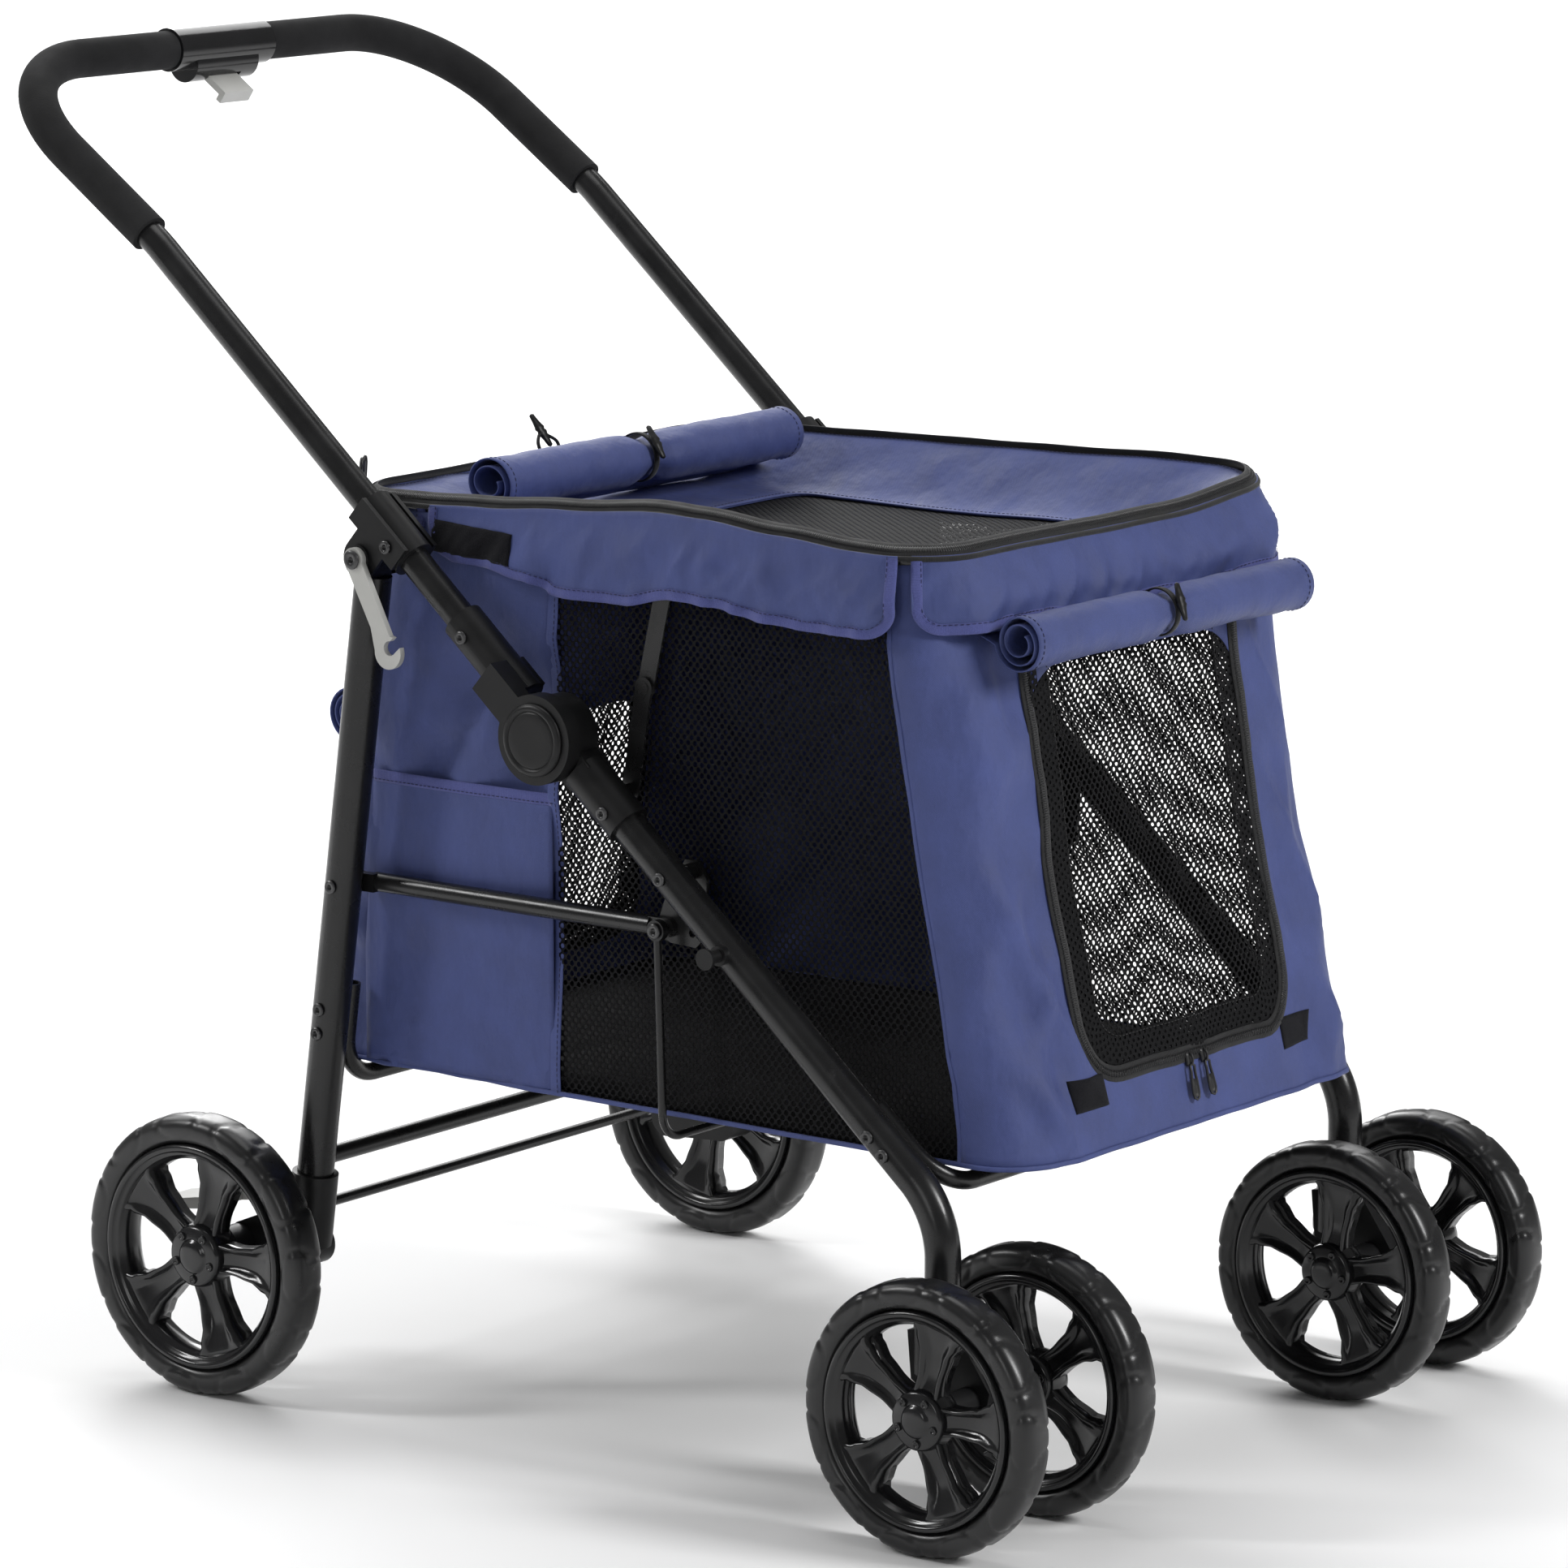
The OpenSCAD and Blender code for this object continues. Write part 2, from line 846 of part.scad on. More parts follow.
module hub_pivots() {
    color(zinc)
        both()
            union() {
                cross_pin(hub, -272, -235.6, 12);
                cross_pin(hub, -235.6, -233.4, 18);
            }
}

// Bracket that clamps each side tube and carries the rear leg
cheek_t = 3.5;
cheek_in = rear_leg_d / 2 + 0.4;

module leg_brackets() {
    foot = on_side(198);
    cheek_xs = [-side_x - cheek_in - cheek_t, -side_x + cheek_in];
    color(plastic_black)
        both()
            difference() {
                union() {
                    bar(at(-side_x, on_side(171)), at(-side_x, on_side(224)), 31);
                    for (x = cheek_xs)
                        side_plate(x, x + cheek_t)
                            union() {
                                translate(leg_pivot)
                                    circle(d = 30);
                                along(foot, leg_pivot - foot)
                                    translate([-11, -15])
                                        square([35, 30]);
                            }
                    for (x = cheek_xs)
                        side_plate(x, x + cheek_t + 0.5)
                            along(foot, leg_pivot - foot)
                                translate([-11, -26])
                                    square([20, 52]);
                    cross_pin(leg_pivot, -side_x - cheek_in - cheek_t - 2.4, -side_x - cheek_in - 1, 20);
                }
                bar(at(-side_x, on_side(160)), at(-side_x, on_side(235)), handle_tube_d + 0.1);
                cross_pin(leg_pivot, -275, -225, 8.04);
                cross_pin(bracket_rivet, -275, -225, rivet_hole);
            }
}

// Rivets of the handle frame and the pivots of the rear legs
hook_x0 = -side_x - cheek_in - cheek_t - 2.7;
hook_t = 4.5;

module handle_rivets() {
    color(zinc)
        both() {
            rivet(upper_sleeve_rivet, -262.2, -232);
            rivet(bracket_rivet, -264.9, -229);
            cross_pin(leg_pivot, hook_x0 - hook_t - 0.3, -229, 8);
            cross_pin(leg_pivot, hook_x0 - hook_t - 2.8, hook_x0 - hook_t - 0.3, 14);
        }
}

// Folding lock that hangs from the right rear leg pivot
module lock_hook() {
    reach = 71;
    dir = [cos(242), sin(242)];
    color(light_grey)
        side_plate(hook_x0, hook_x0 - hook_t)
            difference() {
                union() {
                    translate(leg_pivot)
                        circle(d = 17);
                    along(leg_pivot, dir)
                        polygon([[0, -6.5], [reach, -5], [reach, 14], [reach - 22, 8], [0, 8]]);
                    along(leg_pivot, dir)
                        translate([reach, 2])
                            circle(d = 24);
                }
                translate(leg_pivot)
                    circle(d = 8.1);
                along(leg_pivot, dir)
                    translate([reach - 2, -1])
                        circle(d = 10.5);
                along(leg_pivot, dir)
                    translate([reach - 10, -18])
                        rotate(-14)
                            square([9, 19]);
            }
}

// ---------------------------------------------------------------- rear frame

u_rivets_rear = [rear_leg_at(289), rear_leg_at(271)];

module rear_legs() {
    top = on_rear_leg(14);
    color(steel_black)
        both()
            difference() {
                union() {
                    tube([at(-side_x, top), at(-side_x, rear_foot)], [], rear_leg_d, tube_wall);
                    bar(at(-side_x, top), at(-side_x, on_rear_leg(24)), rear_leg_d - 1);
                    cross_pin(leg_pivot, -side_x - 13, -side_x + 13, 16.4);
                    side_plate(-side_x - 10, -side_x + 10)
                        along(leg_pivot, rear_foot - leg_pivot)
                            translate([0, -8])
                                square([16, 16]);
                }
                cross_pin(leg_pivot, -275, -220, 8.1);
                cross_pin(bar_rear, -275, -220, rivet_hole);
                for (p = u_rivets_rear)
                    cross_pin(p, -275, -220, rivet_hole);
            }
}

module rear_u_tube() {
    color(steel_black)
        difference() {
            tube([at(-rear_u_x, rear_leg_at(304)), at(-rear_u_x, rear_leg_at(u_tube_z)),
                    at(rear_u_x, rear_leg_at(u_tube_z)), at(rear_u_x, rear_leg_at(304))],
                [34, 34], cross_tube_d, tube_wall);
            for (p = u_rivets_rear)
                cross_pin(p, -side_x, side_x, rivet_hole);
        }
}

module rear_cross_tube() {
    y_z = rear_leg_at(174);
    color(steel_black)
        tube([at(-rear_in_x + 0.2, y_z), at(rear_in_x - 0.2, y_z)], [], cross_tube_d, tube_wall);
}

// Socket at the foot of each rear leg with the arm and the stub axle of the wheel
axle_at = [rear_axle_y, rear_wheel_d / 2];
brake_at = rear_leg_at(130) + [18, 0];
axle_d = 10;

module axle_housings() {
    leg_dir = rear_foot - leg_pivot;
    wheel_in = rear_track / 2 - rear_tyre_w / 2 - 3;
    color(plastic_black)
        both()
            difference() {
                union() {
                    bar(at(-side_x, rear_leg_at(164)), at(-side_x, rear_leg_at(110)), 34);
                    cross_pin(rear_leg_at(108), -side_x - 15, -side_x + 12.5, 30);
                    side_plate(-side_x - 15, -side_x + 11)
                        polygon([rear_leg_at(134) + [0, 0], rear_leg_at(134) + [30, -2], axle_at + [4, 15],
                            axle_at + [4, -15], rear_leg_at(93)]);
                    cross_pin(axle_at, -wheel_in, -side_x + 11, 30);
                    cross_pin(axle_at, -rear_track / 2 - rear_tyre_w / 2, -side_x, axle_d);
                }
                bar(at(-side_x, rear_leg_at(170)), at(-side_x, rear_foot), rear_leg_d + 0.1);
                cross_pin(brake_at, -275, -215, 8.1);
            }
}

module rear_rivets() {
    color(zinc)
        both() {
            rivet(bar_rear, -261, -234.5);
            for (p = u_rivets_rear)
                rivet(p, -261, -221);
        }
}

// Parking brake: a rod across both rear wheels and a pedal behind each leg
module brake_rod() {
    color(steel_black)
        bar(at(-side_x - 14, brake_at), at(side_x + 14, brake_at), 8);
}

module brake_pedals() {
    x0 = -side_x + 17.4;
    color(light_grey)
        both()
            difference() {
                union() {
                    side_plate(x0, x0 + 9)
                        polygon([brake_at + [-9, 8], brake_at + [20, 9], [270, 136], [334, 124], [335, 117],
                            [268, 127], brake_at + [20, -8], brake_at + [-9, -8]]);
                    side_plate(x0 - 34, x0 + 9)
                        polygon([[276, 135], [334, 124], [335, 117], [275, 126]]);
                }
                cross_pin(brake_at, -275, -200, 8.04);
            }
}

// ---------------------------------------------------------------- wheels and casters

// Swivelling fork between the two wheels of one caster, with its axle
module caster(sx) {
    half = twin_spacing / 2;
    axle_z = front_wheel_d / 2;
    color(plastic_black)
        translate([sx * side_x, 0, 0])
            difference() {
                union() {
                    translate([0, caster_y, 108])
                        cylinder(d = 40, h = 39.5);
                    side_plate(-15, 15)
                        polygon([[caster_y - 20, 146], [caster_y + 19, 138], [caster_y + 16, 104],
                            [front_axle_y + 10, 80], [front_axle_y - 14, 82], [front_axle_y - 18, 104]]);
                    cross_pin([front_axle_y, axle_z], -half + front_tyre_w / 2 + 2,
                        half - front_tyre_w / 2 - 2, 22);
                    cross_pin([front_axle_y, axle_z], -half - front_tyre_w / 2, half + front_tyre_w / 2, axle_d);
                }
                translate([0, caster_y, 111])
                    cylinder(d = 12.1, h = 60);
            }
}

module caster_right() {
    caster(-1);
}

module caster_left() {
    caster(1);
}

// Tyre with a rounded tread on a wheel of the given radius, its axle along X
module tyre(r, w) {
    crown = 0.66 * w;
    color(plastic_black)
        rotate([0, 90, 0])
            rotate_extrude()
                intersection() {
                    translate([0.79 * r, -w / 2])
                        square([0.21 * r, w]);
                    translate([r - crown, 0])
                        circle(crown);
                }
}

// Five-spoke rim with a stepped lip and a round hub
module wheel_rim(r, w) {
    spokes = 5;
    seat = 0.79 * r - 0.05;
    lip = 0.71 * r;
    color(plastic_black)
        rotate([0, 90, 0])
            difference() {
                union() {
                    rotate_extrude()
                        polygon([[lip, -w / 2 + 1], [seat, -w / 2 + 1], [seat, w / 2 - 1], [lip, w / 2 - 1],
                            [lip - 3, w / 2 - 5], [lip - 3, -w / 2 + 5]]);
                    for (i = [0:spokes - 1])
                        rotate(i * 360 / spokes)
                            translate([0, 0, -6])
                                linear_extrude(12)
                                    polygon([[0.2 * r, -0.09 * r], [lip, -0.16 * r], [lip, 0.13 * r],
                                        [0.2 * r, 0.1 * r]]);
                    cylinder(r = 0.28 * r, h = 14, center = true);
                    cylinder(r = 0.19 * r, h = w + 2, center = true);
                }
                cylinder(d = axle_d + 0.1, h = w + 10, center = true);
            }
}

front_r = front_wheel_d / 2;
rear_r = rear_wheel_d / 2;

// Moves a wheel to its place: side -1 right or 1 left, twin -1 right or 1 left of the caster
module front_place(side, twin) {
    translate([side * side_x + twin * twin_spacing / 2, front_axle_y, front_r])
        children();
}

module rear_place(side) {
    translate([side * rear_track / 2, rear_axle_y, rear_r])
        children();
}

module tyre_front_right_outer() {
    front_place(-1, -1)
        tyre(front_r, front_tyre_w);
}

module rim_front_right_outer() {
    front_place(-1, -1)
        wheel_rim(front_r, front_tyre_w);
}

module tyre_front_right_inner() {
    front_place(-1, 1)
        tyre(front_r, front_tyre_w);
}

module rim_front_right_inner() {
    front_place(-1, 1)
        wheel_rim(front_r, front_tyre_w);
}

module tyre_front_left_outer() {
    front_place(1, 1)
        tyre(front_r, front_tyre_w);
}

module rim_front_left_outer() {
    front_place(1, 1)
        wheel_rim(front_r, front_tyre_w);
}

module tyre_front_left_inner() {
    front_place(1, -1)
        tyre(front_r, front_tyre_w);
}

module rim_front_left_inner() {
    front_place(1, -1)
        wheel_rim(front_r, front_tyre_w);
}

module tyre_rear_right() {
    rear_place(-1)
        tyre(rear_r, rear_tyre_w);
}

module rim_rear_right() {
    rear_place(-1)
        wheel_rim(rear_r, rear_tyre_w);
}

module tyre_rear_left() {
    rear_place(1)
        tyre(rear_r, rear_tyre_w);
}

module rim_rear_left() {
    rear_place(1)
        wheel_rim(rear_r, rear_tyre_w);
}

front_leg_right();
front_leg_left();
hub_lower();
front_u_tube();
link_plates();
caster_collars();
hook_pin();
front_rivets();
cabin_shell();
floor_board();
side_mesh();
side_pockets();
floor_wire();
front_roll();
front_toggle();
rear_roll();
front_door();
rear_door();
front_slider_right();
front_slider_left();
rim_frame();
valance();
lid_border();
lid_mesh();
lid_roll();
lid_toggle();
brace_lower();
brace_upper();
side_bars();
handle_tube();
foam_grips();
handle_pod();
hub_upper();
hub_caps();
hub_pivots();
leg_brackets();
handle_rivets();
fold_trigger();
lock_hook();
rear_legs();
rear_u_tube();
rear_cross_tube();
axle_housings();
rear_rivets();
brake_rod();
brake_pedals();
caster_right();
caster_left();
tyre_front_right_outer();
rim_front_right_outer();
tyre_front_right_inner();
rim_front_right_inner();
tyre_front_left_outer();
rim_front_left_outer();
tyre_front_left_inner();
rim_front_left_inner();
tyre_rear_right();
rim_rear_right();
tyre_rear_left();
rim_rear_left();
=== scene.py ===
import math

import bmesh
import bpy
from mathutils import Matrix, Vector, noise


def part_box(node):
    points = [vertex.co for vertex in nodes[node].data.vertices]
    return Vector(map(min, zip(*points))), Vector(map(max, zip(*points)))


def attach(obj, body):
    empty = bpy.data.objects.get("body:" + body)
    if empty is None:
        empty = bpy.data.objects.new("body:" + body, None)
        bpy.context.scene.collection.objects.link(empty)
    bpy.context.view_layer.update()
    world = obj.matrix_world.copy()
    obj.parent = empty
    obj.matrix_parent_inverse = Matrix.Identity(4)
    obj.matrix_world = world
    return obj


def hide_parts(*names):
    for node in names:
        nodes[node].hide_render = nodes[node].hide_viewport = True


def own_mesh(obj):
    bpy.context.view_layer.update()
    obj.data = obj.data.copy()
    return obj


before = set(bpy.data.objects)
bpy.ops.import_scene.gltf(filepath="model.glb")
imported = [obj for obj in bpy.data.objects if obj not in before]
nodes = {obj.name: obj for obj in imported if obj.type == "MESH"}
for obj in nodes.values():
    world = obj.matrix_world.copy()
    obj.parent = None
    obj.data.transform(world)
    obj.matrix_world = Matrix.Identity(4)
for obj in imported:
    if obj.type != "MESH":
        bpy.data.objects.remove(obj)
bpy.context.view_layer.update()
pi, sin, cos = math.pi, math.sin, math.cos
MM = 0.001  # shapes are worked out in millimetres and made in metres


def clamp(t, lo=0.0, hi=1.0):
    return max(lo, min(hi, t))


def smooth(t):
    t = clamp(t)
    return t * t * (3 - 2 * t)


def lerp(a, b, t):
    return a + (b - a) * t


def table_at(table, t):
    """Value at t in a sorted list of (t, value), eased between its points."""
    if t <= table[0][0]:
        return table[0][1]
    for (t0, v0), (t1, v1) in zip(table, table[1:]):
        if t <= t1:
            k = (t - t0) / (t1 - t0)
            return lerp(v0, v1, k * k * (3 - 2 * k))
    return table[-1][1]


def spread(a, b, n):
    return [a + (b - a) * i / (n - 1) for i in range(n)]


def bumps(x, y, z, size, seed=0.0):
    """Smooth noise from about -1 to 1 at a point given in mm."""
    return noise.noise(Vector((x / size + seed, y / size - seed, z / size + 2 * seed)))


# ------------------------------------------------------------------ materials


class Nodes:
    """A small helper that builds one material's node tree."""

    def __init__(self, name):
        self.m = bpy.data.materials.new(name)
        self.m.use_nodes = True
        self.t = self.m.node_tree
        self.b = self.t.nodes["Principled BSDF"]

    def new(self, kind, **values):
        n = self.t.nodes.new(kind)
        for k, v in values.items():
            if k in n.bl_rna.properties:
                setattr(n, k, v)
            else:
                n.inputs[k.replace("_", " ")].default_value = v
        return n

    def link(self, a, out, b, into):
        self.t.links.new(a.outputs[out], b.inputs[into])

    def noise(self, scale, detail=3.0, rough=0.55, stretch=None):
        c = self.new("ShaderNodeTexCoord")
        n = self.new("ShaderNodeTexNoise", Scale=scale, Detail=detail, Roughness=rough)
        if stretch:
            m = self.new("ShaderNodeMapping")
            m.inputs["Scale"].default_value = stretch
            self.link(c, "Object", m, "Vector")
            self.link(m, 0, n, "Vector")
        else:
            self.link(c, "Object", n, "Vector")
        return n

    def ramp(self, source, stops):
        n = self.new("ShaderNodeValToRGB")
        n.color_ramp.elements[0].position = stops[0][0]
        n.color_ramp.elements[0].color = (*stops[0][1], 1)
        n.color_ramp.elements[1].position = stops[-1][0]
        n.color_ramp.elements[1].color = (*stops[-1][1], 1)
        for pos, col in stops[1:-1]:
            e = n.color_ramp.elements.new(pos)
            e.color = (*col, 1)
        self.link(source, 0, n, "Fac")
        return n

    def remap(self, source, a, b, c, d):
        n = self.new("ShaderNodeMapRange")
        for i, v in enumerate((a, b, c, d)):
            n.inputs[i + 1].default_value = v
        self.link(source, 0, n, "Value")
        return n

    def math(self, op, a, b=None, value=None, out_a=0):
        n = self.new("ShaderNodeMath", operation=op)
        self.link(a, out_a, n, 0)
        if b is not None:
            self.link(b, 0, n, 1)
        elif value is not None:
            n.inputs[1].default_value = value
        return n

    def bump(self, heights):
        """Chains bumps: a list of (node, output, strength, distance in metres)."""
        last = None
        for node, o, strength, distance in heights:
            n = self.new("ShaderNodeBump", Strength=strength, Distance=distance)
            self.link(node, o, n, "Height")
            if last is not None:
                self.link(last, 0, n, "Normal")
            last = n
        self.link(last, 0, self.b, "Normal")

    def set(self, **values):
        for k, v in values.items():
            self.b.inputs[k.replace("_", " ")].default_value = v


def moulded(name, dark, light, rough_lo, rough_hi, grain=1400, depth=0.00012, specular=0.5):
    n = Nodes(name)
    broad = n.noise(14, 4)
    fine = n.noise(grain, 2)
    col = n.ramp(broad, [(0.3, dark), (0.7, light)])
    n.link(col, 0, n.b, "Base Color")
    r = n.remap(n.noise(55, 5), 0.3, 0.7, rough_lo, rough_hi)
    n.link(r, 0, n.b, "Roughness")
    n.bump([(broad, 0, 0.12, 0.0006), (fine, 0, 0.35, depth)])
    n.set(Specular_IOR_Level=specular)
    return n.m


def powder_coat(name):
    n = Nodes(name)
    broad = n.noise(9, 3)
    peel = n.noise(850, 3)
    scuff = n.noise(60, 8, 0.7, stretch=(1, 1, 0.25))
    mask = n.remap(scuff, 0.66, 0.78, 0.0, 1.0)
    base = n.ramp(broad, [(0.3, (0.006, 0.006, 0.0065)), (0.75, (0.0105, 0.0105, 0.011))])
    worn = n.new("ShaderNodeMix", data_type="RGBA")
    worn.inputs[7].default_value = (0.03, 0.03, 0.031, 1)
    n.link(mask, 0, worn, 0)
    n.link(base, 0, worn, 6)
    n.link(worn, 2, n.b, "Base Color")
    r = n.remap(n.noise(38, 6), 0.3, 0.7, 0.22, 0.34)
    n.link(r, 0, n.b, "Roughness")
    n.bump([(peel, 0, 0.3, 0.0001)])
    n.set(Specular_IOR_Level=0.42)
    return n.m


THREAD_PITCH = 0.00055  # metres between the cloth's threads


def cloth(name, dark, light, rough=(0.5, 0.68), sheen=0.25, folds=0.35):
    """Plain woven polyester: threads both ways, heathered colour and faint creases."""
    n = Nodes(name)
    uv = n.new("ShaderNodeTexCoord")
    sep = n.new("ShaderNodeSeparateXYZ")
    n.link(uv, "UV", sep, 0)
    waves = []
    for axis in (0, 1):
        a = n.math("MULTIPLY", sep, value=pi / THREAD_PITCH, out_a=axis)
        waves.append(n.math("SINE", a))
    cross = n.math("MULTIPLY", waves[0], waves[1])
    heather = n.noise(2300, 2)
    mottle = n.noise(26, 6, 0.6)
    broad = n.noise(5, 3)
    mix = n.math("ADD", n.math("MULTIPLY", heather, value=0.45), n.math("MULTIPLY", mottle, value=0.35))
    mix = n.math("ADD", mix, n.math("MULTIPLY", broad, value=0.2))
    mix = n.math("ADD", mix, n.math("MULTIPLY", cross, value=0.03))
    col = n.ramp(mix, [(0.36, dark), (0.64, light)])
    n.link(col, 0, n.b, "Base Color")
    r = n.remap(mottle, 0.3, 0.7, *rough)
    n.link(r, 0, n.b, "Roughness")
    crease = n.noise(38, 3, 0.5, stretch=(1.0, 1.0, 0.55))
    n.bump([(broad, 0, folds, 0.015), (crease, 0, folds, 0.0042), (cross, 0, 0.5, 0.00012)])
    n.set(Specular_IOR_Level=0.35, Sheen_Weight=sheen, Sheen_Roughness=0.4)
    return n.m


def ribbed(name, dark, light, pitch=0.0011):
    """Woven tape with ribs across it; UV x runs along the tape in metres."""
    n = Nodes(name)
    uv = n.new("ShaderNodeTexCoord")
    sep = n.new("ShaderNodeSeparateXYZ")
    n.link(uv, "UV", sep, 0)
    rib = n.math("SINE", n.math("MULTIPLY", sep, value=2 * pi / pitch))
    speck = n.noise(1800, 2)
    col = n.ramp(speck, [(0.3, dark), (0.7, light)])
    n.link(col, 0, n.b, "Base Color")
    r = n.remap(n.noise(90, 4), 0.3, 0.7, 0.67, 0.85)
    n.link(r, 0, n.b, "Roughness")
    n.bump([(rib, 0, 0.4, 0.00018), (speck, 0, 0.3, 0.0001)])
    n.set(Specular_IOR_Level=0.3, Sheen_Weight=0.15)
    return n.m


HOLE_PITCH, HOLE_ROW = 0.0061, 0.0037  # metres between the mesh's holes and between their rows


def netting(name, hole):
    """Knitted mesh with staggered oval holes; UV in metres. hole is their radius as a share of the pitch."""
    n = Nodes(name)
    uv = n.new("ShaderNodeTexCoord")
    dist = []
    for shift in (0.0, 0.5):
        m = n.new("ShaderNodeMapping")
        m.inputs["Scale"].default_value = (1 / HOLE_PITCH, 1 / (2 * HOLE_ROW), 1)
        m.inputs["Location"].default_value = (shift, shift, 0)
        n.link(uv, "UV", m, "Vector")
        f = n.new("ShaderNodeVectorMath", operation="FRACTION")
        n.link(m, 0, f, 0)
        s = n.new("ShaderNodeVectorMath", operation="SUBTRACT")
        s.inputs[1].default_value = (0.5, 0.5, 0)
        n.link(f, 0, s, 0)
        k = n.new("ShaderNodeVectorMath", operation="MULTIPLY")
        k.inputs[1].default_value = (1.0, 1.18, 0)
        n.link(s, 0, k, 0)
        length = n.new("ShaderNodeVectorMath", operation="LENGTH")
        n.link(k, 0, length, 0)
        dist.append(length)
    d = n.new("ShaderNodeMath", operation="MINIMUM")
    n.link(dist[0], "Value", d, 0)
    n.link(dist[1], "Value", d, 1)
    fray = n.noise(900, 2)
    edge = n.math("ADD", d, n.math("MULTIPLY", fray, value=0.05))
    alpha = n.remap(edge, hole - 0.01, hole + 0.05, 0.0, 1.0)
    n.link(alpha, 0, n.b, "Alpha")
    col = n.ramp(fray, [(0.3, (0.004, 0.004, 0.0045)), (0.7, (0.013, 0.013, 0.014))])
    n.link(col, 0, n.b, "Base Color")
    r = n.remap(fray, 0.3, 0.7, 0.6, 0.8)
    n.link(r, 0, n.b, "Roughness")
    n.bump([(d, 0, 0.8, 0.0008)])
    n.set(Specular_IOR_Level=0.08)
    return n.m


def fuzzy(name, dark, light):
    n = Nodes(name)
    pile = n.noise(1500, 4, 0.7)
    patch = n.noise(120, 4)
    col = n.ramp(pile, [(0.35, dark), (0.65, light)])
    n.link(col, 0, n.b, "Base Color")
    r = n.remap(patch, 0.3, 0.7, 0.85, 1.0)
    n.link(r, 0, n.b, "Roughness")
    n.bump([(patch, 0, 0.3, 0.0006), (pile, 0, 0.9, 0.0006)])
    n.set(Specular_IOR_Level=0.1, Sheen_Weight=0.06)
    return n.m


STEEL = powder_coat("powder_coated_steel")
PLASTIC = moulded("satin_black_plastic", (0.006, 0.006, 0.0065), (0.010, 0.010, 0.0105), 0.34, 0.48,
                 specular=0.28)
GLOSS = moulded("gloss_black_plastic", (0.006, 0.006, 0.0065), (0.010, 0.010, 0.011), 0.1, 0.2,
                500, 0.00003, 0.55)
RIM = moulded("wheel_rim_plastic", (0.006, 0.006, 0.0065), (0.010, 0.010, 0.011), 0.14, 0.26,
              420, 0.00004, 0.5)
GREY = moulded("light_grey_plastic", (0.42, 0.42, 0.40), (0.5, 0.5, 0.48), 0.35, 0.5)
ZINC = moulded("dark_plated_steel", (0.014, 0.014, 0.015), (0.035, 0.035, 0.037), 0.22, 0.4,
               900, 0.00005, 0.7)
TYRE = moulded("tyre_rubber", (0.006, 0.006, 0.0065), (0.0105, 0.0105, 0.011), 0.26, 0.38, 700, 0.00006)
FOAM = moulded("foam_grip", (0.012, 0.012, 0.0125), (0.022, 0.022, 0.023), 0.85, 0.98, 650, 0.0005, 0.2)
BLUE = cloth("slate_blue_cloth", (0.038, 0.052, 0.158), (0.068, 0.091, 0.262), sheen=0.08, folds=0.85)
BINDING = ribbed("violet_binding", (0.056, 0.066, 0.205), (0.086, 0.100, 0.300))
THREAD = ribbed("navy_thread", (0.010, 0.012, 0.055), (0.020, 0.024, 0.085), 0.0006)
TAPE = ribbed("black_zip_tape", (0.007, 0.007, 0.0075), (0.014, 0.014, 0.015))
COIL = moulded("zip_coil", (0.008, 0.008, 0.009), (0.02, 0.02, 0.021), 0.3, 0.45, 1500, 0.0001)
NET = netting("knitted_mesh", hole=0.30)
NET_DENSE = netting("doubled_mesh", hole=0.2)
HOOKS = fuzzy("hook_and_loop", (0.003, 0.003, 0.004), (0.014, 0.014, 0.018))
MAT = cloth("black_floor_cloth", (0.003, 0.003, 0.0035), (0.008, 0.008, 0.0085), rough=(0.85, 0.97),
            sheen=0.0)

# ------------------------------------------------------------------ mesh helpers


def make(name, verts, faces, mat, uvs=None, scale=MM):
    """A mesh object from points in mm; uvs is one (u, v) in mm for each vertex."""
    me = bpy.data.meshes.new(name)
    me.from_pydata([Vector(v) * scale for v in verts], [], faces)
    me.materials.append(mat)
    if uvs is not None:
        layer = me.uv_layers.new(name="UVMap")
        for loop in me.loops:
            u = uvs[loop.vertex_index]
            layer.data[loop.index].uv = (u[0] * MM, u[1] * MM)
    me.validate()
    me.shade_smooth()
    me.update()
    o = bpy.data.objects.new(name, me)
    bpy.context.scene.collection.objects.link(o)
    return o


def grid_faces(nu, nv, close_u=False, close_v=False, start=0, flip=False):
    out = []
    for i in range(nu if close_u else nu - 1):
        for j in range(nv if close_v else nv - 1):
            a = start + i * nv + j
            b = start + ((i + 1) % nu) * nv + j
            c = start + ((i + 1) % nu) * nv + (j + 1) % nv
            d = start + i * nv + (j + 1) % nv
            out.append((a, d, c, b) if flip else (a, b, c, d))
    return out


def slab_faces(nu, nv):
    """Faces of two grids one after the other, the second under the first, joined along their edges."""
    n = nu * nv
    out = grid_faces(nu, nv) + grid_faces(nu, nv, start=n, flip=True)
    for i in range(nu - 1):
        a, b = i * nv, (i + 1) * nv
        out.append((a, a + n, b + n, b))
        out.append((a + nv - 1, b + nv - 1, b + nv - 1 + n, a + nv - 1 + n))
    for i in range(nv - 1):
        out.append((i, i + 1, i + 1 + n, i + n))
        e = (nu - 1) * nv + i
        out.append((e, e + n, e + 1 + n, e + 1))
    return out


def grid(name, us, vs, fn, mat, uv=None, close_u=False):
    """A surface: fn(u, v) gives the point in mm, uv(u, v) the texture place in mm."""
    verts, uvs = [], []
    for u in us:
        for v in vs:
            verts.append(fn(u, v))
            uvs.append(uv(u, v) if uv else (0, 0))
    return make(name, verts, grid_faces(len(us), len(vs), close_u), mat, uvs if uv else None)


def add(o, kind, **values):
    m = o.modifiers.new(kind.lower(), kind)
    for k, v in values.items():
        setattr(m, k, v)
    return m


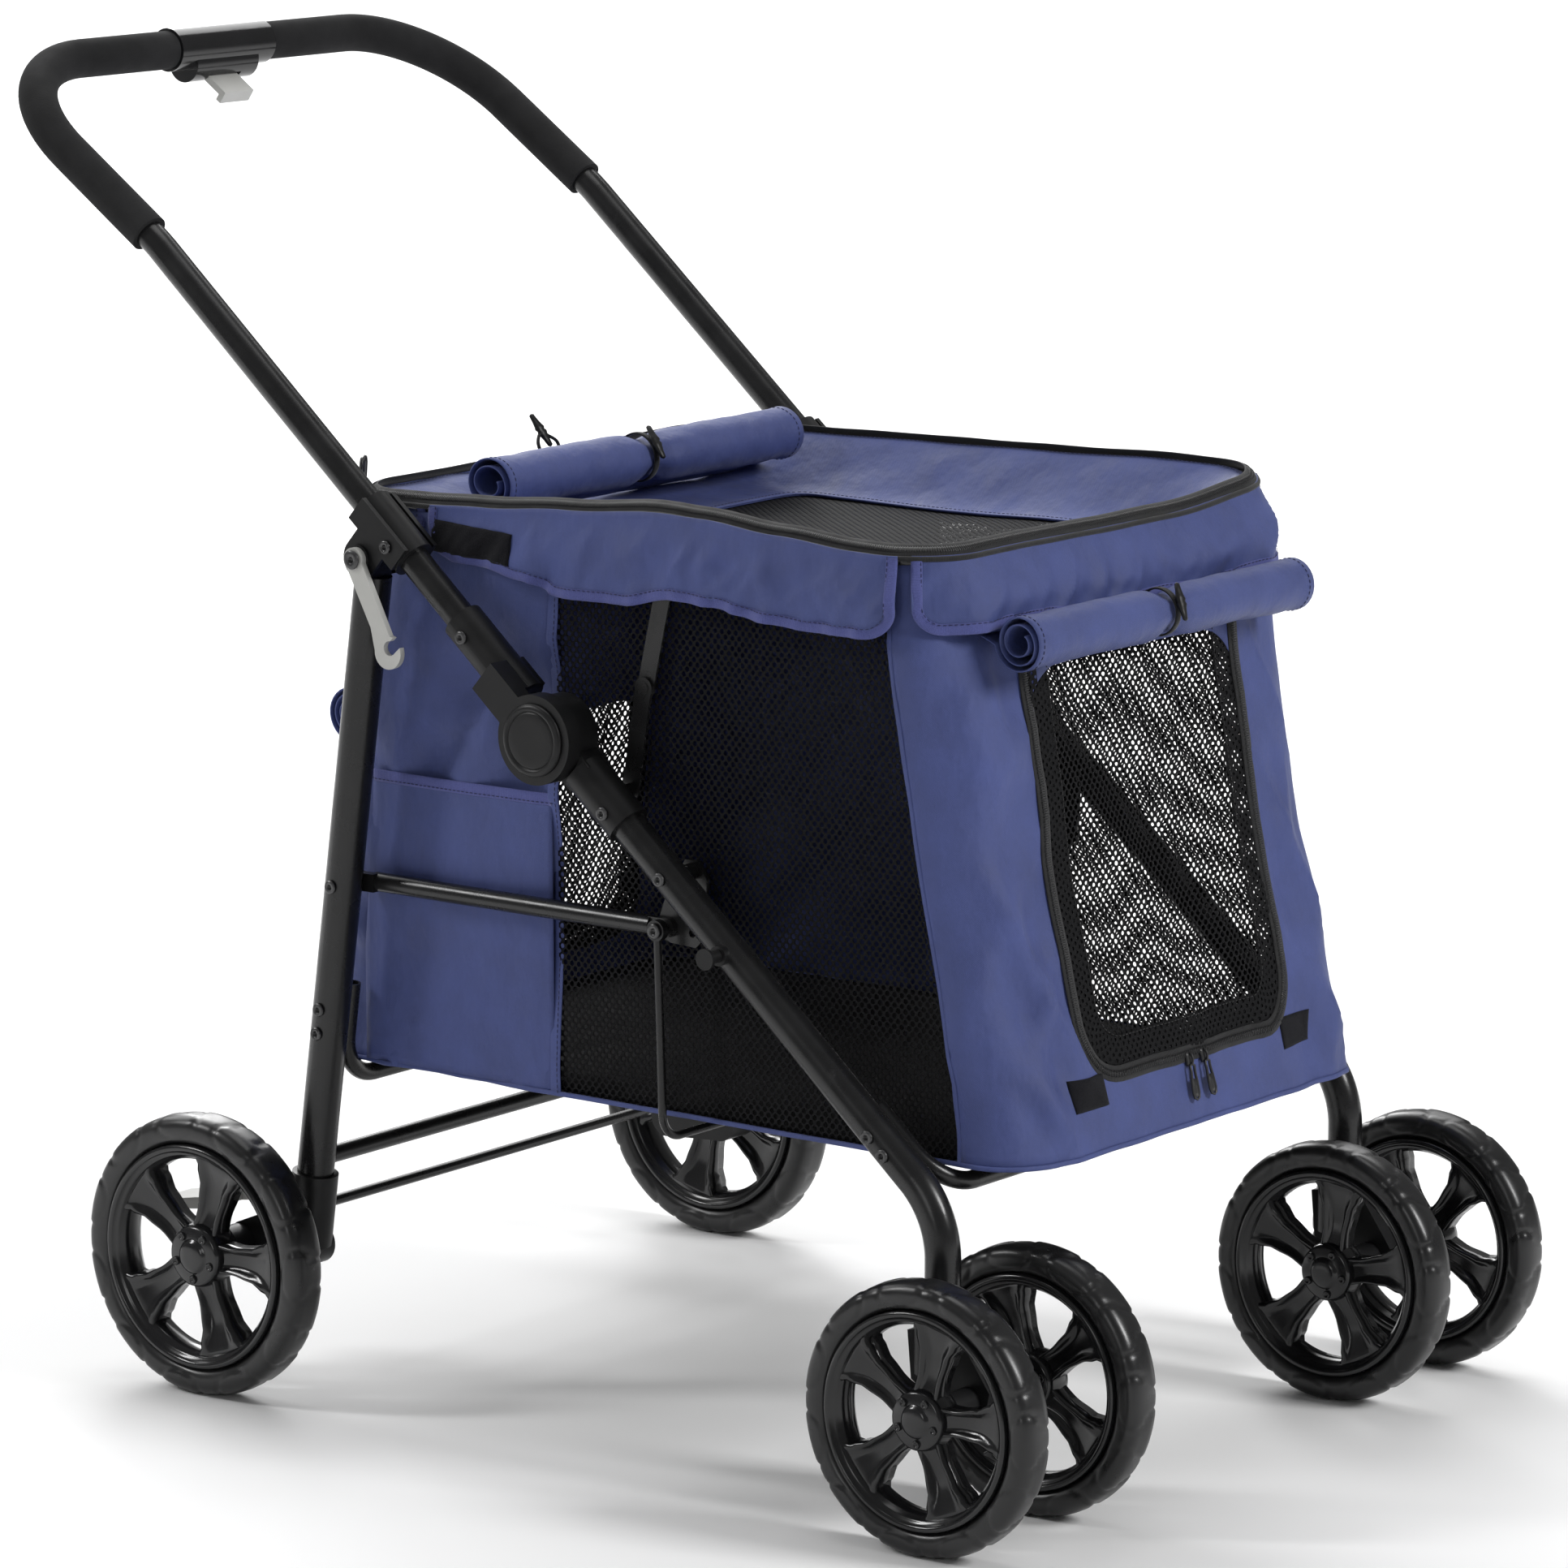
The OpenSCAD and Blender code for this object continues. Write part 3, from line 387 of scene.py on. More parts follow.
def thicken(o, t, offset=0.0):
    add(o, "SOLIDIFY", thickness=t * MM, offset=offset, use_even_offset=False)
    return o


def joined(name, objs):
    """Joins meshes that share a frame into one object."""
    verts, faces, uvs, mats, ids = [], [], [], [], []
    for o in objs:
        base = len(verts)
        me = o.data
        slots = []
        for m in me.materials:
            if m not in mats:
                mats.append(m)
            slots.append(mats.index(m))
        verts += [o.matrix_world @ v.co for v in me.vertices]
        layer = me.uv_layers[0].data if me.uv_layers else None
        for p in me.polygons:
            faces.append([base + v for v in p.vertices])
            ids.append(slots[p.material_index] if slots else 0)
            for li in p.loop_indices:
                uvs.append(tuple(layer[li].uv) if layer else (0, 0))
        bpy.data.objects.remove(o)
    me = bpy.data.meshes.new(name)
    me.from_pydata(verts, [], faces)
    for m in mats:
        me.materials.append(m)
    me.polygons.foreach_set("material_index", ids)
    layer = me.uv_layers.new(name="UVMap")
    for loop, u in zip(layer.data, uvs):
        loop.uv = u
    me.shade_smooth()
    me.update()
    o = bpy.data.objects.new(name, me)
    bpy.context.scene.collection.objects.link(o)
    return o


def frames(pts, ups, closed=False):
    """Tangent, side and up at each point of a path, up kept near the given vectors."""
    n = len(pts)
    out = []
    for i in range(n):
        a = pts[(i - 1) % n] if closed or i > 0 else pts[0]
        b = pts[(i + 1) % n] if closed or i < n - 1 else pts[-1]
        t = (Vector(b) - Vector(a)).normalized()
        up = Vector(ups[i])
        up = (up - t * up.dot(t)).normalized()
        out.append((t, t.cross(up), up))
    return out


def lengths(pts):
    out = [0.0]
    for a, b in zip(pts, pts[1:]):
        out.append(out[-1] + (Vector(b) - Vector(a)).length)
    return out


def sweep(name, pts, ups, profile, mat, closed=False):
    """Runs a closed profile of (side, up) offsets in mm along a path."""
    fr = frames(pts, ups, closed)
    run = lengths(pts)
    verts, uvs = [], []
    m = len(profile)
    around = [0.0]
    for a, b in zip(profile, profile[1:]):
        around.append(around[-1] + math.dist(a, b))
    for p, (_, s, u), d in zip(pts, fr, run):
        for (a, b), w in zip(profile, around):
            verts.append(Vector(p) + s * a + u * b)
            uvs.append((d, w))
    faces = grid_faces(len(pts), m, closed, True)
    if not closed:
        faces.append(tuple(reversed(range(m))))
        faces.append(tuple(range((len(pts) - 1) * m, len(pts) * m)))
    return make(name, verts, faces, mat, uvs)


def band(w, t, bulge=0.35):
    """Profile of a flat tape of width w and thickness t with soft edges."""
    h = w / 2
    return [(-h, 0), (-h * 0.93, t * 0.45), (-h * 0.4, t * (0.5 + bulge * 0.4)), (0, t * (0.5 + bulge * 0.5)),
            (h * 0.4, t * (0.5 + bulge * 0.4)), (h * 0.93, t * 0.45), (h, 0), (h * 0.93, -t * 0.5),
            (0, -t * 0.5), (-h * 0.93, -t * 0.5)]


def ring_profile(r, n=10):
    return [(r * cos(2 * pi * i / n), r * sin(2 * pi * i / n)) for i in range(n)]


def resample(pts, ups, step, closed=False):
    """Points and ups at an even step along a path."""
    pts = [Vector(p) for p in pts]
    ups = [Vector(u) for u in ups]
    if closed:
        pts.append(pts[0])
        ups.append(ups[0])
    run = lengths(pts)
    n = max(2, round(run[-1] / step))
    out_p, out_u, j = [], [], 0
    for i in range(n if closed else n + 1):
        d = run[-1] * i / n
        while j < len(run) - 2 and run[j + 1] < d:
            j += 1
        k = (d - run[j]) / max(run[j + 1] - run[j], 1e-9)
        out_p.append(pts[j].lerp(pts[j + 1], k))
        out_u.append(ups[j].lerp(ups[j + 1], k).normalized())
    return out_p, out_u


BAR = [(-1, -1), (1, -1), (1, 1), (-1, 1)]


def dashes(name, pts, ups, mat, length=2.6, gap=1.4, high=0.4, side=0.0, lift=0.2, closed=False, across=None):
    """Small rounded bars along a path: stitches, or zip teeth when across is given."""
    pts, ups = resample(pts, ups, length + gap, closed)
    fr = frames(pts, ups, closed)
    verts, faces, uvs = [], [], []
    along, half = length / 2, (across or 0.55) / 2
    for k, (p, (t, s, u)) in enumerate(zip(pts, fr)):
        if across:
            c = Vector(p) + u * lift
            if k % 2:
                c = c + s * 0.25
        else:
            c = Vector(p) + s * side + u * lift
        base = len(verts)
        for e, f in ((-1.0, 0.55), (-0.6, 1.0), (0.6, 1.0), (1.0, 0.55)):
            for a, b in BAR:
                verts.append(c + t * (along * e) + s * (half * a * f) + u * (high / 2 * (b * f)))
                uvs.append((along * e, half * a))
        faces.append(tuple(base + i for i in (3, 2, 1, 0)))
        faces.append(tuple(base + i for i in (12, 13, 14, 15)))
        for r in range(3):
            for i in range(4):
                a, b = base + r * 4 + i, base + r * 4 + (i + 1) % 4
                faces.append((a, b, b + 4, a + 4))
    return make(name, verts, faces, mat, uvs)


def lathe(name, profile, mat, at=(0, 0, 0), n=48, flip=False):
    """Turns a profile of (along, radius) in mm about the line along X through a point in mm."""
    verts = []
    for i in range(n):
        a = 2 * pi * i / n
        for d, r in profile:
            verts.append((d + at[0], r * cos(a) + at[1], r * sin(a) + at[2]))
    return make(name, verts, grid_faces(n, len(profile), True, False, 0, flip), mat)


def clean(o, dist=2e-6):
    """Welds points closer than dist, in metres, and makes the faces point outwards."""
    bm = bmesh.new()
    bm.from_mesh(o.data)
    bmesh.ops.remove_doubles(bm, verts=bm.verts, dist=dist)
    bmesh.ops.recalc_face_normals(bm, faces=bm.faces)
    bm.to_mesh(o.data)
    bm.free()
    return o


def cloth_piece(o, body, node=None, thick=1.2, squash=True,
                slot="fabric"):
    """Thickens a sheet, hides its CAD node when one is given, and sets it on its body."""
    thicken(o, thick)
    if node:
        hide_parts(node)
    trim(o, slot, body, squash)
    return o


def settle(o, body, squash=False):
    """Rides a body; with squash, and on the rim, lid and sliders, it gets a mesh of its own."""
    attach(o, body)
    if squash or body in ("rim", "lid", "slider_right", "slider_left"):
        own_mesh(o)
    return o


def trim(o, slot, body, squash=False):
    """A small piece sewn or fixed to a body; slot is not used."""
    return settle(o, body, squash)


# ------------------------------------------------------------------ camera, light, floor

cam = bpy.data.objects.new("camera", bpy.data.cameras.new("camera"))
bpy.context.scene.collection.objects.link(cam)
az, el, roll = -0.909229, 0.185472, -0.0030577
fwd = Vector((-sin(az) * cos(el), cos(az) * cos(el), -sin(el)))
side = Vector((cos(az), sin(az), 0))
up = side.cross(fwd)
right = side * cos(roll) + up * sin(roll)
up = up * cos(roll) - side * sin(roll)
cam.matrix_world = Matrix((right, up, -fwd)).transposed().to_4x4()
cam.location = (-3.9623, -3.1394, 1.3831)
cam.data.lens, cam.data.sensor_width = 161.4, 36
cam.data.clip_end = 200
bpy.context.scene.camera = cam


def lamp(name, at, size, power, target=(0, 0, 0.45)):
    d = bpy.data.lights.new(name, "AREA")
    d.shape, d.size, d.size_y, d.energy = "RECTANGLE", size[0], size[1], power
    o = bpy.data.objects.new(name, d)
    bpy.context.scene.collection.objects.link(o)
    o.location = at
    o.rotation_euler = (Vector(at) - Vector(target)).to_track_quat("Z", "Y").to_euler()


lamp("key", (-2.6, 3.0, 3.2), (0.6, 1.6), 74)
lamp("side_fill", (-5.0, -1.4, 1.8), (1.2, 1.6), 20)
lamp("front_fill", (0.9, -4.6, 3.2), (1.2, 1.6), 165)
lamp("top", (0.2, 0.3, 4.2), (2.0, 2.0), 32)
lamp("back_rim", (3.0, 3.4, 2.6), (1.2, 2.4), 60)
lamp("backdrop", (6.0, 8.0, 7.0), (12.0, 12.0), 1500, target=(6.5, 8.5, 0))
world = bpy.data.worlds.new("studio")
world.use_nodes = True
world.node_tree.nodes["Background"].inputs[0].default_value = (1, 1, 1, 1)
world.node_tree.nodes["Background"].inputs[1].default_value = 0.2
bpy.context.scene.world = world
bpy.context.scene.view_settings.view_transform = "Standard"

floor_mat = Nodes("studio_floor")
floor_var = floor_mat.ramp(floor_mat.noise(0.6, 2), [(0.3, (0.90, 0.90, 0.90)), (0.7, (0.92, 0.92, 0.92))])
floor_mat.link(floor_var, 0, floor_mat.b, "Base Color")
floor_mat.set(Roughness=0.9, Specular_IOR_Level=0.1)
corners = [(-40, -40, 0), (40, -40, 0), (40, 40, 0), (-40, 40, 0)]
floor = make("studio_floor", corners, [(0, 1, 2, 3)], floor_mat.m, scale=1.0)

# ------------------------------------------------------------------ carried-over parts

by_material = {
    STEEL: ["front_leg_right", "front_leg_left", "front_u_tube", "link_plates", "floor_wire", "rim_frame",
            "brace_lower", "brace_upper", "side_bars", "handle_tube", "rear_legs", "rear_u_tube",
            "rear_cross_tube", "brake_rod"],
    PLASTIC: ["hub_lower", "caster_collars", "hook_pin", "hub_upper", "leg_brackets", "axle_housings",
              "caster_right", "caster_left"],
    GREY: ["fold_trigger", "lock_hook", "brake_pedals"],
    GLOSS: ["handle_pod"],
    FOAM: ["foam_grips"],
    ZINC: ["hub_pivots"],
}
for m, names in by_material.items():
    for n in names:
        d = nodes[n].data
        d.materials.clear()
        d.materials.append(m)
# Softened edges, in metres
bevels = {"hub_lower": 0.0014, "hub_upper": 0.0014, "leg_brackets": 0.0014, "axle_housings": 0.0014,
          "caster_right": 0.0014, "caster_left": 0.0014, "caster_collars": 0.0014, "lock_hook": 0.0009,
          "fold_trigger": 0.0012, "brake_pedals": 0.0012, "link_plates": 0.0005, "hook_pin": 0.0014,
          "handle_pod": 0.0024, "brace_lower": 0.0004, "brace_upper": 0.0004}
for n, width in bevels.items():
    add(nodes[n], "BEVEL", width=width, segments=3, limit_method="ANGLE", angle_limit=math.radians(38),
        harden_normals=False)


def parts_of(node):
    """Boxes of the separate solids in a CAD node, in mm."""
    bm = bmesh.new()
    bm.from_mesh(nodes[node].data)
    bmesh.ops.remove_doubles(bm, verts=bm.verts, dist=1e-6)
    left, out = set(bm.verts), []
    while left:
        stack, group = [left.pop()], []
        while stack:
            v = stack.pop()
            group.append(v.co.copy())
            for e in v.link_edges:
                w = e.other_vert(v)
                if w in left:
                    left.remove(w)
                    stack.append(w)
        lo = [min(c[i] for c in group) * 1000 for i in range(3)]
        hi = [max(c[i] for c in group) * 1000 for i in range(3)]
        out.append((lo, hi))
    bm.free()
    return sorted(out)


def tube_rivets(node, body):
    """Tubular rivets with a rolled head and an open middle, one for each CAD solid."""
    made = []
    for k, (lo, hi) in enumerate(parts_of(node)):
        sx = -1 if lo[0] + hi[0] < 0 else 1
        out_x = max(abs(lo[0]), abs(hi[0]))
        in_x = min(abs(lo[0]), abs(hi[0]))
        r = (hi[1] - lo[1]) / 2
        core = min(r * 0.52, 3.0)
        prof = [(out_x - 3.2, 0), (out_x - 3.2, core * 0.62), (out_x - 0.6, core * 0.7),
                (out_x - 0.1, core * 0.95), (out_x, r * 0.72), (out_x - 0.25, r * 0.9), (out_x - 0.9, r),
                (out_x - 1.7, r * 0.98), (out_x - 2.0, r * 0.93), (out_x - 2.0, core),
                (in_x, core), (in_x, 0)]
        o = lathe(f"{node}_{k}", [(sx * a, b) for a, b in prof], ZINC,
                  at=(0, (lo[1] + hi[1]) / 2, (lo[2] + hi[2]) / 2), n=28, flip=sx > 0)
        made.append(clean(o))
    o = joined(node + "_turned", made)
    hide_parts(node)
    return trim(o, "zinc", body)


tube_rivets("front_rivets", "chassis")
tube_rivets("handle_rivets", "handle")
tube_rivets("rear_rivets", "rear_frame")

# Hub caps: a shallow dish with a rolled edge and a flat inlay
caps = []
for k, (lo, hi) in enumerate(parts_of("hub_caps")):
    sx = -1 if lo[0] < 0 else 1
    r = (hi[1] - lo[1]) / 2
    x0 = min(abs(lo[0]), abs(hi[0]))
    prof = [(x0, 0), (x0, r), (x0 + 1.6, r - 0.1), (x0 + 3.2, r - 1.2), (x0 + 3.9, r - 3.4),
            (x0 + 3.5, r - 5.0), (x0 + 2.5, r - 5.5), (x0 + 2.5, r - 5.8), (x0 + 3.4, r - 6.2),
            (x0 + 3.6, r - 7.4), (x0 + 3.5, r * 0.5), (x0 + 3.3, 0)]
    caps.append(clean(lathe(f"cap_{k}", [(sx * a, b) for a, b in prof], PLASTIC,
                            at=(0, (lo[1] + hi[1]) / 2, (lo[2] + hi[2]) / 2), n=64, flip=sx > 0)))
hub_caps = joined("hub_caps_dished", caps)
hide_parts("hub_caps")
trim(hub_caps, "cap", "handle")

# ------------------------------------------------------------------ wheels


def tyre_mesh(name, r, w):
    """Tyre with half-moon blocks along both shoulders."""
    nt, ns = 240, 44
    count = 11
    verts = []
    seat = 0.79 * r
    h = r - seat
    for i in range(nt):
        a = 2 * pi * i / nt
        for j in range(ns):
            f = 2 * pi * j / ns
            c, s = cos(f), sin(f)
            x = w / 2 * math.copysign(abs(s) ** 0.62, s)
            rad = seat + h / 2 + h / 2 * math.copysign(abs(c) ** 0.8, c)
            cell = (a / (2 * pi) * count + (0.5 if x > 0 else 0.0)) % 1.0
            along = (cell - 0.5) * 2 * pi * r / count
            level = (r - rad) * 0.9 + (w / 2 - abs(x)) * 0.8
            d = math.hypot(along / 20.0, (level - 2.0) / 13.0)
            groove = math.exp(-(((d - 1.0) / 0.085) ** 2))
            block = smooth((1.0 - d) / 0.12)
            on = smooth((rad - seat - 4.0) / 3.0)
            push = (0.5 * block - 1.1 * groove) * on
            rad += push * c
            x += push * s * (0.7 if abs(s) > 0.3 else 0.2)
            verts.append((x, rad * cos(a), rad * sin(a)))
    return make(name, verts, grid_faces(nt, ns, True, True), TYRE)


def spoke(r, w):
    """One flared spoke with raised edges and a scooped face on both sides."""
    r0, r1 = 0.15 * r, 0.725 * r
    us, vs = spread(0, 1, 15), spread(-1, 1, 13)
    pts = []
    for face in (1, -1):
        for u in us:
            rad = lerp(r0, r1, u)
            half = r * table_at([(0, 0.105), (0.3, 0.092), (0.6, 0.115), (0.85, 0.175), (1.0, 0.26)], u)
            edge = lerp(0.30 * w, 0.36 * w, smooth(u))
            deep = lerp(0.05, 0.24, sin(pi * clamp(u * 1.05))) * w
            for v in vs:
                scoop = smooth((1 - abs(v)) / 0.55)
                crown = 1 - 0.16 * smooth((abs(v) - 0.8) / 0.2)
                pts.append((face * (edge * crown - deep * scoop), v * half, rad))
    return pts, [(f[0],) + f[:0:-1] for f in slab_faces(len(us), len(vs))]


def rim_mesh(name, r, w, turn):
    """Rim: stepped channel, five spokes, hub drum, domed cap and its ring of bosses."""
    made = []
    k = r / REAR_WHEEL_R
    half = w / 2
    ring = [(half - 1.2, 0.800 * r), (half + 0.2, 0.790 * r), (half + 0.5, 0.770 * r),
            (half - 0.6, 0.752 * r), (half - 2.6, 0.748 * r), (half - 3.0, 0.728 * r),
            (half - 4.6, 0.716 * r), (half - 7.5, 0.700 * r), (half - 8.5, 0.690 * r), (0, 0.684 * r)]
    prof = ring + [(-a, b) for a, b in reversed(ring[:-1])]
    made.append(lathe(name + "_ring", prof + [prof[0]], RIM, n=96))
    pts, faces = spoke(r, w)
    for i in range(5):
        a = turn + 2 * pi * i / 5
        c, s = cos(a), sin(a)
        turned = [(x, y * c - z * s, y * s + z * c) for x, y, z in pts]
        made.append(make(f"{name}_spoke_{i}", turned, faces, RIM))
    hub = [(half + 0.6, 0), (half + 0.6, 4.0 * k), (half + 0.2, 9.0 * k), (half - 0.8, 11.6 * k),
           (half - 2.4, 12.6 * k), (half - 2.6, 13.4 * k), (half - 3.0, 20.5 * k), (half - 4.0, 22.2 * k),
           (half - 8.0, 23.4 * k), (0, 24.5 * k)]
    prof = hub + [(-a, b) for a, b in reversed(hub[:-1])]
    made.append(lathe(name + "_hub", prof, RIM, n=64))
    for sx in (1, -1):
        for i in range(5):
            a = turn + 2 * pi * (i + 0.5) / 5
            boss = [(half - 3.2, 3.4 * k), (half - 1.4, 3.2 * k), (half - 0.9, 2.6 * k),
                    (half - 1.2, 1.6 * k), (half - 2.0, 1.3 * k), (half - 2.0, 0)]
            made.append(lathe(f"{name}_boss_{sx}_{i}", [(sx * p, q) for p, q in boss], RIM,
                              at=(0, 17.2 * k * cos(a), 17.2 * k * sin(a)), n=14, flip=sx < 0))
    for o in made:
        clean(o)
    return joined(name, made)


# How far each rim is turned, in degrees
wheel_turns = {"front_right_outer": 14, "front_right_inner": -20, "front_left_outer": 40,
               "front_left_inner": 8, "rear_right": 18, "rear_left": 50}
FRONT_WHEEL_R, REAR_WHEEL_R = 95.0, 104.0
for wheel, turn in wheel_turns.items():
    lo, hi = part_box("tyre_" + wheel)
    r = FRONT_WHEEL_R if "front" in wheel else REAR_WHEEL_R
    c = (lo + hi) / 2 * 1000
    w = (hi[0] - lo[0]) * 1000
    c[2] = r
    t = tyre_mesh(f"tyre_{wheel}_moulded", r, w)
    m = rim_mesh(f"rim_{wheel}_moulded", r, w, math.radians(turn))
    for o, cad, s in ((t, "tyre_" + wheel, "tyre"), (m, "rim_" + wheel, "rim")):
        o.data.transform(Matrix.Translation(c * MM))
        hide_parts(cad)
        trim(o, s, "wheel_" + wheel)

# ------------------------------------------------------------------ cabin form

# Half width, bottom and top of the walls, and the radius of the cabin's upright corners
HW, ZB, ZT, CR = 213.0, 243.0, 652.0, 48.0
CABIN_FOOT, CABIN_RISE = 240.5, 419.5


def oval_at(q, half, front, rear, corner):
    """Point and outward direction on a rounded rectangle. q is 0 at the front's middle, runs 1 to 2 round
    the front corner, 2 to 3 along a side and 3 to 4 round the rear corner, and is 5 at the rear's middle.
    It is positive on the right side."""
    s = -1 if q >= 0 else 1
    a = abs(q)
    flat = half - corner
    if a <= 1:
        return s * flat * a, front, (0, -1)
    if a <= 2:
        t = (a - 1) * pi / 2
        return s * (flat + corner * sin(t)), front + corner - corner * cos(t), (s * sin(t), -cos(t))
    if a <= 3:
        return s * half, front + corner + (a - 2) * (rear - front - 2 * corner), (s, 0)
    if a <= 4:
        t = (a - 3) * pi / 2
        return s * (flat + corner * cos(t)), rear - corner + corner * sin(t), (s * cos(t), sin(t))
    return s * flat * (5 - a), rear, (0, 1)


def wall_front(z):
    t = (z - CABIN_FOOT) / CABIN_RISE
    return -428 + 81 * t + 8 * sin(pi * clamp(t)) ** 1.2


def wall_rear(z):
    t = (z - CABIN_FOOT) / CABIN_RISE
    return 222 - 36 * t - 4 * sin(pi * clamp(t))


def ridges(u, v, seed):
    """Sharp-backed folds: 0 in the hollows, 1 along the crests."""
    return 1 - min(1.0, abs(noise.noise(Vector((u, v, seed)))) * 2.4)


def folds(x, y, z):
    """How far the front and rear cloth stands off its flat shape, in mm."""
    along = x * 1.0 + y * 0.8
    d = 11.0 * ridges((along + 0.12 * z) / 66, z / 250, 3.1)
    d += 6.5 * ridges((along - 0.5 * z) / 52, (z + along) / 150, 9.4)
    d += 2.6 * bumps(x, y, z * 0.6, 34, 7.7) - 9.5
    hem = math.exp(-(((z - 246) / 16.0) ** 2))
    d += 1.3 * hem * sin((x + y) / 7.5 + 2 * bumps(x, y, 0, 60))
    return d


def side_folds(y, z):
    """Slanting folds of the rear quarter and the slack above the floor, always inward of 3.5 mm."""
    u, v = y * 0.85 + z * 0.53, z * 0.85 - y * 0.53
    rear = smooth((y + 25) / 40)
    d = 15.0 * ridges(u / 74, v / 210, 5.5) + 9.0 * ridges((y - 0.7 * z) / 54, (z + y) / 140, 2.2) * rear
    d += 2.6 * bumps(0, y, z, 28, 4.0) - 13.0
    return min(d, 3.4) * (0.25 + 0.75 * rear)


def wall(q, z, off=0.0, wave=1.0):
    """Point of the cabin's wall at q, as for oval_at, standing off its flat shape by the folds and by off."""
    a = abs(q)
    x, y, n = oval_at(q, HW, wall_front(z), wall_rear(z), CR)
    share = smooth((abs(n[0]) - 0.15) / 0.7)
    calm = smooth((ZT + 6 - z) / 40) * smooth((z - ZB + 25) / 60)
    if a < 1 or a > 4:
        calm *= lerp(0.25, 1.0, smooth((abs(x) - (118 if a < 1 else 150)) / 40))
    d = wave * calm * lerp(folds(x, y, z), side_folds(y, z), share) + off
    if a <= 2:
        d -= 4.0 * smooth((z - 596) / 16)
    return (x + n[0] * d, y + n[1] * d, z)


def normal(q, z):
    a, b = Vector(wall(q - 0.02, z, 0, 0)), Vector(wall(q + 0.02, z, 0, 0))
    n = (Vector(wall(q, z + 2, 0, 0)) - Vector(wall(q, z - 2, 0, 0))).cross(b - a).normalized()
    out = Vector(wall(q, z, 5, 0)) - Vector(wall(q, z, 0, 0))
    return n if n.dot(out) > 0 else -n


def q_of_y(y, z):
    f, r = wall_front(z), wall_rear(z)
    return 2 + (y - f - CR) / (r - f - 2 * CR)


def perimeter(q):
    """Texture place along the wall, in mm, measured about half-way up."""
    s = 1 if q >= 0 else -1
    a = abs(q)
    f, r = wall_front(450.0), wall_rear(450.0)
    marks = [0, HW - CR, HW - CR + CR * pi / 2, HW - CR + CR * pi / 2 + (r - f - 2 * CR)]
    marks += [marks[-1] + CR * pi / 2, marks[-1] + CR * pi / 2 + HW - CR]
    i = min(4, int(a))
    return s * lerp(marks[i], marks[i + 1], a - i)


def wall_place(q, z):
    return (perimeter(q), z)


def seam_front(z):
    """Where the blue front meets the side window."""
    return table_at([(245, -368.0), (303, -364.0), (375, -355.0), (453, -343.0), (541, -332.0), (607, -322.0),
                     (660, -312.0)], z)


SEAM_REAR = -18.0
SEAM_FAR = -36.0
ROWS = spread(ZB, ZT, 46)


def seam_rear(s):
    return SEAM_REAR if s > 0 else SEAM_FAR


def reach(dx, dy, half, h, r, far):
    """How far a ray from the middle of a rounded rectangle runs before it leaves it."""
    lo, hi = 0.0, far
    for _ in range(30):
        m = (lo + hi) / 2
        px, py = abs(dx * m), abs(dy * m)
        gx, gy = px - (half - r), py - (h - r)
        inside = (px <= half and py <= h) and (gx < 0 or gy < 0 or math.hypot(gx, gy) <= r)
        lo, hi = (m, hi) if inside else (lo, m)
    return lo


def panel_with_hole(name, base_q, hole, rows, mat):
    """The flat middle of the front or rear wall round its opening. base_q turns x into the wall's q."""
    hole_half, z0, z1, hole_r = hole
    zc, h = (z0 + z1) / 2, (z1 - z0) / 2
    half = HW - CR
    xs = spread(-half, half, 41)
    outer = [(half, z) for z in rows]
    outer += [(x, rows[-1]) for x in reversed(xs[1:-1])]
    outer += [(-half, z) for z in reversed(rows)]
    outer += [(x, rows[0]) for x in xs[1:-1]]
    steps = spread(0, 1, 12)
    verts, uvs = [], []
    for x, z in outer:
        n = math.hypot(x, z - zc)
        dx, dz = x / n, (z - zc) / n
        m = reach(dx, dz, hole_half, h, hole_r, 600.0)
        for t in steps:
            px, pz = lerp(dx * m, x, t), lerp(zc + dz * m, z, t)
            q = base_q(px)
            verts.append(wall(q, pz))
            uvs.append((px, pz))
    faces = grid_faces(len(outer), len(steps), True, False)
    return make(name, verts, faces, mat, uvs)


def front_q(x):
    return -x / (HW - CR)


def rear_q(x):
    s = 1 if x <= 0 else -1
    return s * (5 - abs(x) / (HW - CR))


# Half width, bottom, top and corner radius of the two door openings
FRONT_HOLE = (124.0, 292.0, 573.0, 38.0)
REAR_HOLE = (163.0, 268.0, 458.0, 38.0)


def walls(name, panel, base_q, hole, corner_q, seam, columns):
    """A door panel with a wing on each side that runs round the corner to the side window's seam."""
    objs = [panel_with_hole(panel + "p", base_q, hole, ROWS, BLUE)]
    for s in (1, -1):
        def place(t, z, s=s):
            return s * lerp(corner_q, q_of_y(seam(s, z), z), t)

        objs.append(grid(panel + "s", spread(0, 1, columns), ROWS, lambda t, z: wall(place(t, z), z), BLUE,
                         lambda t, z: wall_place(place(t, z), z)))
    return clean(joined(name, objs), 0.0002)


front_cloth = walls("cabin_front_cloth", "f", front_q, FRONT_HOLE, 1, lambda s, z: seam_front(z), 16)
rear_cloth = walls("cabin_rear_cloth", "r", rear_q, REAR_HOLE, 4, lambda s, z: seam_rear(s), 44)
cloth_piece(front_cloth, "chassis", "cabin_shell")
cloth_piece(rear_cloth, "chassis")

